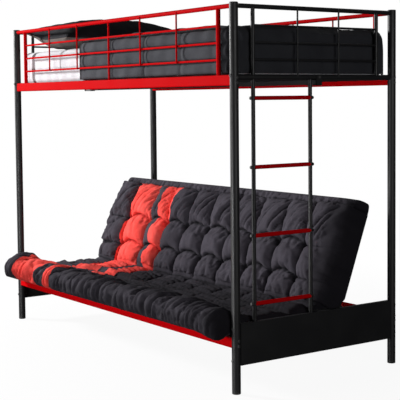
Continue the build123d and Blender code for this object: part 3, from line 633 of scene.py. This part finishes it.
def tuftField(x, place, backward):
    # dips at the tufts, with short folds that run out from them
    own = Named(**futonSettings)
    field = np.zeros_like(x)
    dip, height = (1, own.spokeHeight) if backward else (own.seatDip, own.seatSpoke)
    for tuftX, edge, number in tuftPlaces(backward):
        dx, dy = x - tuftX, place - edge
        away = np.sqrt(dx * dx + dy * dy) + 1e-6
        near = np.exp(-(away / own.tuftReach) ** 2)
        field -= own.tuftDepth * near * dip
        ring = step(away, *own.spokeRim) * np.exp(-(away / own.spokeReach) ** 2)
        turned = np.arctan2(dy, dx) * own.spokeTurn + 7 * number
        outward = away / own.spokeLength + number
        spokes = valleys(turned, outward, own.spokeSeed + number)
        field += (spokes - own.spokeLevel) * ring * height
    return field


backFoldSettings = {
    "rise": (0.04, 0.35), "stop": 0.010, "band": 0.002, "lean": 0.13, "leanPower": 1.5,
    "lowerUntil": 0.2, "endsFrom": (0.80, 0.88),
}


def backFolds(x, s):
    # pleats that rise from the upper tufts, lean over and gather in the top band
    own = Named(**backFoldSettings)
    start, end = futonSettings["backRows"][2:]
    bandStart, bandEnd = end + own.band, end + own.stop
    up = np.clip((s - start) / (end - start), 0, 1)
    strength = step(up, *own.rise) * (1 - step(s, end - own.stop, bandStart))
    leaning = x - own.lean * up ** own.leanPower
    folds = foldsOf("pleat", strength, leaning, s)
    folds += foldsOf("smallPleat", strength, leaning, s)
    # the band over them is flatter, with small gathers across it
    folds += foldsOf("bandGather", step(s, bandStart, bandEnd), x, s)
    # light creases over the rows of puffs
    lower = 1 - step(up, 0, own.lowerUntil)
    folds += foldsOf("rowCrease", lower, x + 0.4 * s, s - 0.2 * x)
    # long soft folds over the ends, from the last tufts outward
    rightward, leftward = (step(side * x, *own.endsFrom) for side in (1, -1))
    folds += foldsOf("endFold", rightward, s + 0.5 * (x - 0.8), x)
    folds += foldsOf("endCrease", rightward, s + 0.3 * x, x)
    folds += foldsOf("leftFold", leftward, s - 0.3 * x, x)
    return folds


seatFoldSettings = {
    "rollStart": (0.004, 0.04), "rollEnd": (0.20, 0.27), "rollLength": 0.24,
    "lean": 0.075, "leanPower": 1.4, "bow": 0.026, "wander": 0.014,
    "least": 0.45, "more": 0.55, "fadePower": 0.8,
    "leftLump": 0.020, "lumpFrom": (0.02, 0.06), "lumpX": 0.89, "lumpWidth": 0.10,
    "flatFrom": (0.19, 0.25), "flatUntil": (0.045, 0.075),
    "swing": 0.10, "swingY": 0.30, "swingWidth": 0.12, "flatWander": 0.02,
}


def seatFolds(x, y, reach):
    # the roll along the front is gathered in arcs that lean to the left as they come down
    own = Named(**seatFoldSettings)
    onRoll = (1 - step(reach, *own.rollEnd)) * step(reach, *own.rollStart)
    turn = np.clip(reach / own.rollLength, 0, 1)
    arc = np.sin(turn * pi)
    bowed = x - own.lean * turn ** own.leanPower + own.bow * arc
    bowed += own.wander * waves(x, 13, 2.1, 4)
    fading = own.least + own.more * arc ** own.fadePower
    folds = foldsOf("rollArc", onRoll * fading, bowed, reach)
    folds += foldsOf("rollGather", onRoll, bowed, reach)
    # the roll is fuller near its left end
    lumpAcross = np.exp(-((x + own.lumpX) / own.lumpWidth) ** 2)
    folds += step(reach, *own.lumpFrom) * onRoll * own.leftLump * lumpAcross
    # long folds lie along the seat behind the roll
    behind = step(reach, *own.flatFrom) * (1 - step(y, *own.flatUntil))
    swing = np.exp(-((y + own.swingY) / own.swingWidth) ** 2)
    swung = y + own.swing * x * swing + own.flatWander * waves(x, 11, 1.2, 4)
    folds += foldsOf("seatFold", behind, x, swung)
    folds += foldsOf("seatCrease", behind, x, y + 0.1 * x)
    return folds


def blurred(field, passes):
    field = field.copy()
    for _ in range(passes):
        rounded(field, 1)
        rounded(field.T, 1)
    return field


def futonShade(out, x, reach, place):
    # painted shade of each point, from 0 to 1: its hollows darkened first
    own = Named(**futonSettings)
    wide = step(blurred(out, own.wideBlur) - out, *own.wideDepth)
    fine = step(blurred(out, own.fineBlur) - out, *own.fineDepth)
    # painted shade on the front face of the roll and the seat's end by the ladder, which lie in
    # shade
    onSeat = place < own.backFrom
    front = own.frontShade * (1 - step(reach, *own.frontReach))
    byLadder = step(x, *own.endAcross) * np.where(onSeat, *own.endShade)
    # painted shadow of the bunk over the seat, darkest behind the roll
    behind = own.behindRoll * step(reach, *own.behindFrom) * (1 - step(place, *own.behindTo))
    underBunk = (own.bunkShade + behind) * onSeat * step(x, *own.bunkAcross)
    return np.maximum.reduce([wide, own.fineShare * fine, front, byLadder, underBunk])


def shapeFuton():
    own = Named(**futonSettings)
    top, under, rowPlace, walked, seatCount = makeFutonGrids()
    normal = normalsOf(top)
    x, place = np.meshgrid(top[seatCount // 2, :, 0], rowPlace)
    reach = np.repeat(walked[:, None], top.shape[1], 1)
    toTop = walked[-1] - reach
    seat, back = slice(0, seatCount), slice(seatCount, None)
    s, y = place[back] - 1, place[seat]
    out = np.zeros_like(x)
    out[seat] = puffField(x[seat], y, False) + tuftField(x[seat], y, False)
    out[seat] += seatFolds(x[seat], y, reach[seat])
    out[back] = puffField(x[back], s, True) + tuftField(x[back], s, True) + backFolds(x[back], s)
    # small creases everywhere, which lie along the seat where it is flat
    flat = step(reach, *own.flatFrom) * (place < own.flatUntil)
    width, length, flatWidth, flatLength = own.creaseSizes
    creases = valleys(x / width, (reach + 0.3 * x) / length, 91, 0.8) * (1 - flat)
    creases += valleys(x / flatWidth, (reach + 0.1 * x) / flatLength, 93, 0.8) * flat
    out += own.creaseHeight * (creases - 0.5)
    out += foldsOf("fineCrease", 1 - flat, x + 0.3 * reach, reach)

    # little stands out over the rounded edges
    fromEnd = own.halfLength - np.abs(x)
    lively = own.lively * step(toTop, *own.livelyFrom)
    calm = lively + (1 - lively) * step(fromEnd, *own.endCalm)
    calm = calm * step(reach, *own.frontCalm) * step(toTop, *own.topCalm)
    top = top + normal * (out * calm)[..., None]
    top[..., 0] = np.maximum(top[..., 0], -own.halfLength - 0.001)
    # painted shade of the creases and of the shaded places
    hollow = futonShade(out, x, reach, place)

    # the back's ends reach over the frame behind
    lean = radians(own.lean)
    over = step(place, *own.overFrom) * (1 - step(fromEnd, *own.overAcross)) * own.overFrame
    over *= step(toTop, 0, own.overTop)
    for grid in (top, under):
        grid[..., 1] += over * cos(lean)
        grid[..., 2] -= over * sin(lean)
        # beside the right posts the cover stays between them
        inFront = own.roomInFront * step(-grid[..., 1], *own.postFront)
        grid[..., 0] = np.minimum(grid[..., 0], own.halfLength + own.room + inFront)
    return top, under, x, place, reach, hollow


def stripeField(x, place):
    # 0 to 1 before the first edge, 1 to 2 in the first stripe, and so on to 5 past the last
    own = Named(**futonSettings)
    steps = list(stripeEdges)
    # the seat's rows are spread over the part before the back's foot
    onSeat = np.interp(place, (steps[0], own.seatRows[-1]), steps[:2])
    flat = np.where(place > own.backFrom, place, onSeat)
    edges = [np.interp(flat, steps, [row[k] for row in stripeEdges.values()]) for k in range(4)]
    knots = [edges[0] - own.beforeStripes, *edges, edges[3] + own.afterStripes]
    values = np.zeros_like(x)
    for k in range(5):
        share = (x - knots[k]) / (knots[k + 1] - knots[k])
        inside = (share >= 0) & (share < 1)
        values = np.where(inside, k + share, values)
    values = np.where(x >= knots[5], 5, values)
    # the band along the top is plain
    return np.where(place > 1 + own.backRows[3] + own.plainBand, 5, values)


clothSettings = {
    "frames": 16, "furthest": 0.016, "stride": 2,
    # a shrink below 0 gives the sheet slack
    "physics": {"quality": 4, "mass": 0.25, "tension_stiffness": 10, "compression_stiffness": 6,
                "shear_stiffness": 3, "bending_stiffness": 0.12, "shrink_min": -0.07,
                "use_pressure": True, "uniform_pressure_force": 2.5,
                "vertex_group_mass": "held"},
    # how firmly the flat seat and the grooves are held, and how near them
    "seatHold": 0.8, "grooveHold": 0.5, "rollBack": -0.35, "grooveShare": 0.92,
    "rowNear": 0.007, "tuftNear": 0.013, "crease": (0.06, 1.03),
    "frontRows": 3, "topRows": 8,
}


def filledIn(values, rowsAt, columnsAt, rows, columns):
    # values at some rows and columns of a grid, and between them
    tall = np.stack([np.interp(np.arange(rows), rowsAt, values[:, j])
                     for j in range(values.shape[1])], 1)
    return np.stack([np.interp(np.arange(columns), columnsAt, tall[i]) for i in range(rows)])


def simulateCover(points, held):
    # a sheet with some slack swells and wrinkles between its held points
    own = Named(**clothSettings)
    rows, columns = points.shape[:2]
    rowsAt, columnsAt = (np.unique(np.append(np.arange(0, count, own.stride), count - 1))
                         for count in (rows, columns))
    start = points[np.ix_(rowsAt, columnsAt)]
    weights = held[np.ix_(rowsAt, columnsAt)].ravel()
    index = np.arange(len(weights)).reshape(start.shape[:2])
    sheet = makeObject("coverSheet", start.reshape(-1, 3), quadsOf(index), futonCloth)
    group = sheet.vertex_groups.new(name="held")
    for level in np.unique(weights[weights > 0]):
        group.add(np.flatnonzero(weights == level).tolist(), float(level), "REPLACE")
    cloth = sheet.modifiers.new("cloth", "CLOTH")
    for name, value in own.physics.items():
        setattr(cloth.settings, name, value)
    cloth.settings.effector_weights.gravity = 0
    cloth.collision_settings.use_collision = False
    cloth.point_cache.frame_start, cloth.point_cache.frame_end = 1, own.frames
    scene = bpy.context.scene
    for number in range(1, own.frames + 1):
        scene.frame_set(number)
    graph = bpy.context.evaluated_depsgraph_get()
    moved = vertexValues(sheet.evaluated_get(graph), "co")
    scene.frame_set(1)
    bpy.data.objects.remove(sheet)
    change = moved.reshape(start.shape) - start
    length = np.linalg.norm(change, axis=-1, keepdims=True)
    furthest = own.furthest
    change *= furthest * np.tanh(length / furthest) / np.maximum(length, 1e-9)
    print("cover moved", round(float(length.max()), 4), round(float(length.mean()), 4))
    parts = [filledIn(change[..., k], rowsAt, columnsAt, rows, columns) for k in range(3)]
    return points + np.stack(parts, -1)


def heldPoints(x, place):
    # 1 at the edges, tufts and crease, less along the grooves and over the flat seat
    own = Named(**clothSettings, **futonSettings)
    held = np.zeros_like(x)
    _, a, intoMargin = columnPlace(x)
    held[(place < own.backFrom) & (place > own.rollBack)] = own.seatHold
    held[(np.abs(a) > own.grooveShare) & (intoMargin < 0)] = own.grooveHold
    for edge in own.backRows:
        held[np.abs(place - 1 - edge) < own.rowNear] = own.grooveHold
    for backward in (True, False):
        for tuftX, edge, _ in tuftPlaces(backward):
            held[np.hypot(x - tuftX, place - backward - edge) < own.tuftNear] = 1
    held[(place > own.crease[0]) & (place < own.crease[1])] = 1
    held[:own.frontRows] = held[-own.topRows:] = 1
    held[:, :own.leftSteps] = held[:, -own.rightSteps:] = 1
    return held


def makeFuton():
    top, under, x, place, reach, hollow = shapeFuton()
    top = simulateCover(top, heldPoints(x, place))
    made = padObject("futonMattress", top, under, futonCloth)
    stripe = stripeField(x, place)
    giveAttribute(made, "stripe", padValues(stripe, stripe))
    # painted shade on the top sheet, none on the under sheet
    giveAttribute(made, "hollow", padValues(hollow, np.zeros_like(hollow)))
    giveWeave(made, x, reach, 3)
    return made


futon = makeFuton()
print("futon done", len(futon.data.vertices))


# Bunk mattress in a white sheet

mattressSettings = {
    "low": (-0.993, -0.3835, 1.3492), "high": (0.993, 0.4885, 1.5350),
    "rounding": 0.03, "roundingSteps": 5, "voxel": 0.011,
    "wrinkle": 0.0014, "foldWidth": 0.11, "foldSwing": 2, "foldTop": 1.54, "foldFade": 0.12,
    "cloud": 0.2, "cloudShare": 0.8, "inward": 0.0012,
}


def makeMattress():
    own = Named(**mattressSettings)
    low, high = Vector(own.low), Vector(own.high)
    built = bmesh.new()
    bmesh.ops.create_cube(built, size=1)
    for vertex in built.verts:
        vertex.co = Vector([low[i] + (vertex.co[i] + 0.5) * (high[i] - low[i]) for i in range(3)])
    bmesh.ops.bevel(built, geom=built.edges[:], offset=own.rounding,
                    segments=own.roundingSteps, profile=0.5, affect="EDGES")
    mesh = bpy.data.meshes.new("sheetedMattress")
    built.to_mesh(mesh)
    built.free()
    made = newObject("sheetedMattress", mesh)
    remesh = made.modifiers.new("even", "REMESH")
    remesh.mode, remesh.voxel_size = "VOXEL", own.voxel
    applyModifiers(made)
    points, normal = vertexValues(made, "co"), vertexValues(made, "normal")
    x, y, z = points.T
    # folds hang down the sides, and the top is a little uneven
    onSide = 1 - np.abs(normal[:, 2])
    wander = own.foldSwing * np.sin(x * 7 + y * 5)
    hang = np.sin((x + 0.3 * y) * 2 * pi / own.foldWidth + wander)
    hang = hang * step(own.foldTop - z, 0, own.foldFade)
    cloud = cloudOf(x + z, y - z, 31, own.cloud)
    lift = own.wrinkle * (onSide * hang + own.cloudShare * cloud)
    points += normal * (lift - own.inward)[:, None]
    made.data.vertices.foreach_set("co", points.ravel())
    made.data.materials.clear()
    made.data.materials.append(sheetCloth)
    shadeSmooth(made.data)
    giveAttribute(made, "weave", np.stack([x + z, y + z, np.zeros_like(z)], -1))
    made.data.update()
    return made


mattress = makeMattress()
print("mattress done", len(mattress.data.vertices))


# The quilt: a flat quilted cloth that folds over the mattress's sides and right end

quiltSettings = {
    "left": -0.335, "right": 1.0035, "middle": 0.0525, "halfWidth": 0.4445,
    "top": 1.5715, "hem": 1.3645, "rounding": 0.045, "cornerPower": 5, "spacing": 0.009,
    "topThickness": 0.027, "sideThickness": 0.0055,
    # quilting: channels along the bed, and seams across them
    "channel": 0.0725, "firstChannel": 1.5710, "channelPower": 2.4, "channelSteep": 0.6,
    "boxStart": -0.310, "boxLength": 0.305, "boxPower": 12, "boxSteep": 0.5,
    "endBoxStart": 0.05, "channelHeight": 0.0155, "seamDrop": 0.004,
    # painted shade: on the end face, and in the seams by how full the puff is
    "hemPuff": 0.3, "endPuff": 0.3, "endHollow": 0.55, "hollowPuff": (0.1, 0.8),
    "cornerFlat": 0.03, "pulled": 0.75, "pulledFrom": (0.76, 0.90),
    # unevenness: heights and sizes
    "cloud": 0.0040, "cloudSize": 0.16, "crease": 0.0035, "creaseSize": (0.09, 0.07),
    "cornerOut": 0.008, "cornerReach": 0.1,
    "swell": 0.006, "swellReach": 0.2, "swellShare": 0.6, "swellSize": 0.35,
    "flapFrom": (0.907, 0.915), "flapOut": 0.003, "flapShade": 0.75,
    "edgeOut": 0.007, "edgeFrom": (0.80, 0.95), "sideShare": 0.9,
}


def quiltPlace(q, p):
    # from flat cloth to where it lies; also its drop, and how far past the top's end and sides
    own = Named(**quiltSettings)
    turn, power = own.rounding, own.cornerPower
    edgeQ, edgeP = own.right - turn, own.halfWidth - turn
    a, b = np.maximum(q - edgeQ, 0), np.maximum(np.abs(p) - edgeP, 0)
    d = (a ** power + b ** power) ** (1 / power)
    quarter = turn * pi / 2
    angle = np.minimum(d, quarter) / turn
    out = np.where(d < quarter, turn * np.sin(angle), turn)
    drop = np.where(d < quarter, turn * (1 - np.cos(angle)), turn + d - quarter)
    heading = np.arctan2(b, a)
    towardX = np.where(a > 0, np.where(b > 0, np.cos(heading), 1), 0)
    towardY = np.where(b > 0, np.where(a > 0, np.sin(heading), 1), 0)
    x = np.minimum(q, edgeQ) + out * towardX
    y = own.middle + np.sign(p) * (np.minimum(np.abs(p), edgeP) + out * towardY)
    return np.stack([x, y, own.top - drop], -1), drop, a, b


def fromSeam(values):
    # -1 at a seam and up to 1 at the next
    return 2 * (values - np.floor(values)) - 1


def quiltPuff(q, p, a, b):
    # how full the quilting is at each point, from 0 at its seams to 1
    own = Named(**quiltSettings)
    turn = own.rounding
    onEnd = a > b
    # channels run along the bed; on the sides they lie between the guard's bars
    depth = np.abs(p) - own.halfWidth + 2 * turn - turn * pi / 2
    channel = (depth + own.top - own.firstChannel) / own.channel
    channel = np.where(onEnd, (a - turn * pi / 2 + turn) / own.channel, channel)
    box = np.where(onEnd, p - own.endBoxStart, q - own.boxStart)
    puff = (dome(fromSeam(channel), own.channelPower, own.channelSteep)
            * dome(fromSeam(box / own.boxLength), own.boxPower, own.boxSteep))
    puff = np.where(q < own.boxStart, own.hemPuff, puff)
    puff = puff * (1 - step(np.minimum(a, b), 0, own.cornerFlat))
    # the seams are pulled flat along the top's end edge
    pulled = own.pulled * step(q, *own.pulledFrom)
    return puff * (1 - pulled * (b == 0) * (a < turn))


def makeQuilt():
    own = Named(**quiltSettings)
    turn = own.rounding
    hang = own.top - own.hem - turn + turn * pi / 2
    endQ = own.right - turn + hang
    endP = own.halfWidth - turn + hang
    q = np.linspace(own.left, endQ, int((endQ - own.left) / own.spacing))
    p = np.linspace(-endP, endP, int(2 * endP / own.spacing))
    flatP, flatQ = np.meshgrid(p, q, indexing="ij")
    grid, drop, a, b = quiltPlace(flatQ, flatP)
    normal = normalsOf(grid)
    puff = quiltPuff(flatQ, flatP, a, b)
    onEnd, onTop = a > b, (a == 0) & (b == 0)
    out = own.channelHeight * puff * np.where(onEnd, own.endPuff, 1)
    out -= own.seamDrop
    # painted shade: the end face, which lies in shade, and the seams where the puff is low are
    # darkened
    hollow = np.where(onEnd, own.endHollow, 1 - step(puff, *own.hollowPuff))
    out += own.cloud * cloudOf(flatQ, flatP, 41, own.cloudSize) * puff
    width, length = own.creaseSize
    out += own.crease * (valleys(flatQ / width, flatP / length, 42) - 0.5) * puff
    out += own.cornerOut * step(np.minimum(a, b) / own.cornerReach, 0.0, 1.0)
    # the top swells a little
    fromSide = own.halfWidth - turn - np.abs(flatP)
    uneven = 1 + own.swellShare * cloudOf(flatQ, flatP, 43, own.swellSize)
    out += onTop * step(fromSide, 0, own.swellReach) * own.swell * uneven
    # the end flap wraps round the front corner
    wrapped = step(flatQ, *own.flapFrom) * (b > 0) * (1 - onEnd)
    out += own.flapOut * wrapped
    # painted shade on the flap round the front corner
    hollow = np.maximum(hollow, own.flapShade * wrapped)
    # the top's end edge is uneven
    atEdge = step(flatQ, *own.edgeFrom) * (b == 0) * (a < turn)
    out += atEdge * own.edgeOut * waves(flatP, 45, 1.1, 2)
    # the cloth past the guard's bars stays inside them
    out *= np.where(onTop, 1, own.sideShare)
    top = grid + normal * out[..., None]
    thick = own.sideThickness + own.topThickness * (1 - step(drop, 0, turn))
    under = grid - normal * thick[..., None]
    edge = grid - normal * (thick / 2)[..., None]
    for sheet in (top, under):
        sheet[0], sheet[-1], sheet[:, 0], sheet[:, -1] = edge[0], edge[-1], edge[:, 0], edge[:, -1]
    made = padObject("quiltCover", top, under, quiltCloth)
    giveWeave(made, flatQ, flatP)
    # the painted shade goes on the top sheet only
    giveAttribute(made, "hollow", padValues(hollow, np.zeros_like(hollow)))
    smoothed(made)
    return made


quilt = makeQuilt()
print("quilt done", len(quilt.data.vertices))


# The pillow: two sheets sewn round the edge and filled

pillowSettings = {
    "centre": (-0.7495, 0.0525), "halfX": 0.25, "halfY": 0.425, "base": 1.545,
    "height": 0.178, "spacing": 0.011, "powerX": 2.2, "powerY": 2.6, "drawnX": 0.07,
    "drawnY": 0.05, "pleats": 26, "pleatHeight": 0.006, "crumple": 0.004, "crumpleSize": 0.12,
    "seam": 0.055, "overSeam": 0.06, "belly": 0.052, "bellyFull": 1.6,
    "cornerLift": 0.045, "liftX": (0.1, 1.0), "liftY": (0.35, 1.0),
}


def makePillow():
    own = Named(**pillowSettings)
    halfX, halfY = own.halfX, own.halfY
    u, v = (np.sin(np.linspace(-pi / 2, pi / 2, int(2 * half / own.spacing)))
            for half in (halfX, halfY))
    gridV, gridU = np.meshgrid(v, u, indexing="ij")
    fill = (dome(gridU, own.powerX) * dome(gridV, own.powerY)) ** 0.5
    # the edges draw in between the corners
    x = own.centre[0] + gridU * halfX * (1 - own.drawnX * (1 - gridV ** 4))
    y = own.centre[1] + gridV * halfY * (1 - own.drawnY * (1 - gridU ** 4))
    pleats = np.sin(np.arctan2(gridU * halfX, gridV * halfY) * own.pleats)
    folds = own.pleatHeight * pleats * fill * (1 - fill)
    crumple = own.crumple * cloudOf(x, y, 51, own.crumpleSize) * fill
    seam = own.base + own.seam
    rise = (own.height - own.overSeam) * fill
    belly = own.belly * np.minimum(fill * own.bellyFull, 1)
    top = np.stack([x, y, seam + rise + folds + crumple], -1)
    under = np.stack([x, y, seam - belly - folds], -1)
    # the front left corner is turned up
    lifted = step(-gridU, *own.liftX) * step(-gridV, *own.liftY)
    for sheet in (top, under):
        sheet[..., 2] += own.cornerLift * lifted
    made = padObject("pillowFilled", top, under, pillowCloth)
    # the under sheet takes the pillow's underside colour; the top has no painted shade
    giveAttribute(made, "hollow", padValues(np.zeros_like(fill), np.ones_like(fill)))
    giveWeave(made, x, y)
    smoothed(made)
    return made


pillow = makePillow()
print("pillow done", len(pillow.data.vertices))


# What each piece rides on and stands for

for piece, node in ((mattress, "bunk_mattress"), (quilt, "quilt"), (pillow, "pillow")):
    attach(piece, "bunk")
    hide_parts(node)
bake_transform(futon)
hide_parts("futon_seat", "futon_back")


# Floor, light and camera

stageSettings = {
    "floorHalf": 12, "floorSeen": (0.92, 0.92, 0.92, 1), "floorDust": (0.88, 0.88, 0.88, 1),
    "dustShare": 0.03, "floorBounce": (0.12, 0.12, 0.12, 1), "roughness": 0.9, "shine": 0.1,
    "floorGlow": 0.93, "glowAway": 0.07, "awayRange": (1.2, 3.2),
    "backdrop": (1, 1, 1, 1), "backdropGlow": 1, "sky": (0.95, 0.97, 1, 1), "skyGlow": 0.022,
}
# Each lamp: place, aim, width, strength in watts
lamps = {
    "keyLight": ((-4.7, -3.1, 2.7), (0, 0, 0.6), 0.8, 500),
    "frontLight": ((0.4, -3.0, 0.2), (0.2, -0.4, 0.25), 1.2, 72),
    "sideLight": ((5.5, -0.6, 1.6), (0, 0, 0.6), 2.0, 50),
    "backLight": ((-1.0, 4.5, 3.8), (0, 0, 1.0), 2.5, 32),
}
cameraSettings = {
    "place": (4.705, -3.2155, 1.260), "yaw": 55.56, "pitch": -3.58, "roll": -0.63,
    "lens": 98.77, "sensor": 36, "shift": (0.05, -0.08), "farthest": 60,
}


def makeStage():
    own = Named(**stageSettings)
    half = own.floorHalf
    corners = np.array([(-half, -half, 0), (half, -half, 0), (half, half, 0), (-half, half, 0)])
    # the camera sees a white floor, but little of its light falls on the bed
    shader = Shader("floorPaint")
    seen = shader.node("ShaderNodeLightPath", out=0)
    cloud = shader.noise(shader.place(), 3, 3).smooth(0.3, 0.7)
    base = shader.mix(cloud * own.dustShare, own.floorSeen, own.floorDust)
    base = shader.mix(seen, own.floorBounce, base)
    shader.paint(Base_Color=base, Roughness=own.roughness, Specular_IOR_Level=own.shine)
    glow = shader.node("ShaderNodeEmission", None, [(1, 1, 1, 1), 1])
    surface = Wire(shader, shader.surface.outputs[0])
    away = shader.node("ShaderNodeVectorMath", {"operation": "LENGTH"}, [shader.place()], 1)
    share = seen * (own.floorGlow + own.glowAway * away.smooth(*own.awayRange))
    mixed = shader.node("ShaderNodeMixShader", None, [share, surface, glow])
    shader.tree.links.new(mixed.socket, shader.output.inputs[0])
    floor = makeObject("floor", corners, [[0, 1, 2, 3]], shader.material)


def makeWorld():
    settings = stageSettings
    world = bpy.data.worlds.new("studio")
    world.use_nodes = True
    bpy.context.scene.world = world
    tree = world.node_tree
    tree.nodes.clear()
    path = tree.nodes.new("ShaderNodeLightPath")
    mixed = tree.nodes.new("ShaderNodeMixShader")
    output = tree.nodes.new("ShaderNodeOutputWorld")
    tree.links.new(path.outputs["Is Camera Ray"], mixed.inputs[0])
    for socket, name in ((1, "sky"), (2, "backdrop")):
        background = tree.nodes.new("ShaderNodeBackground")
        background.inputs["Color"].default_value = settings[name]
        background.inputs["Strength"].default_value = settings[name + "Glow"]
        tree.links.new(background.outputs[0], mixed.inputs[socket])
    tree.links.new(mixed.outputs[0], output.inputs[0])


def makeLamps():
    for name, (place, aim, width, power) in lamps.items():
        light = bpy.data.lights.new(name, "AREA")
        light.size, light.energy = width, power
        lamp = newObject(name, light)
        lamp.location = place
        lamp.visible_camera = False
        lamp.rotation_euler = (Vector(place) - Vector(aim)).to_track_quat("Z", "Y").to_euler()


def makeCamera():
    settings = cameraSettings
    yaw, pitch, roll = (radians(settings[name]) for name in ("yaw", "pitch", "roll"))
    forward = Vector((-sin(yaw) * cos(pitch), cos(yaw) * cos(pitch), sin(pitch)))
    right = forward.cross(Vector((0, 0, 1))).normalized()
    up = right.cross(forward)
    turnedRight = right * cos(roll) + up * sin(roll)
    turnedUp = up * cos(roll) - right * sin(roll)
    camera = newObject("camera", bpy.data.cameras.new("camera"))
    axes = Matrix((turnedRight, turnedUp, -forward)).transposed()
    camera.matrix_world = Matrix.Translation(settings["place"]) @ axes.to_4x4()
    camera.data.lens, camera.data.sensor_width = settings["lens"], settings["sensor"]
    camera.data.shift_x, camera.data.shift_y = settings["shift"]
    camera.data.dof.use_dof = False
    camera.data.clip_end = settings["farthest"]
    bpy.context.scene.camera = camera


makeStage()
makeWorld()
makeLamps()
makeCamera()
bpy.context.scene.view_settings.view_transform = "Standard"
print("stage done")
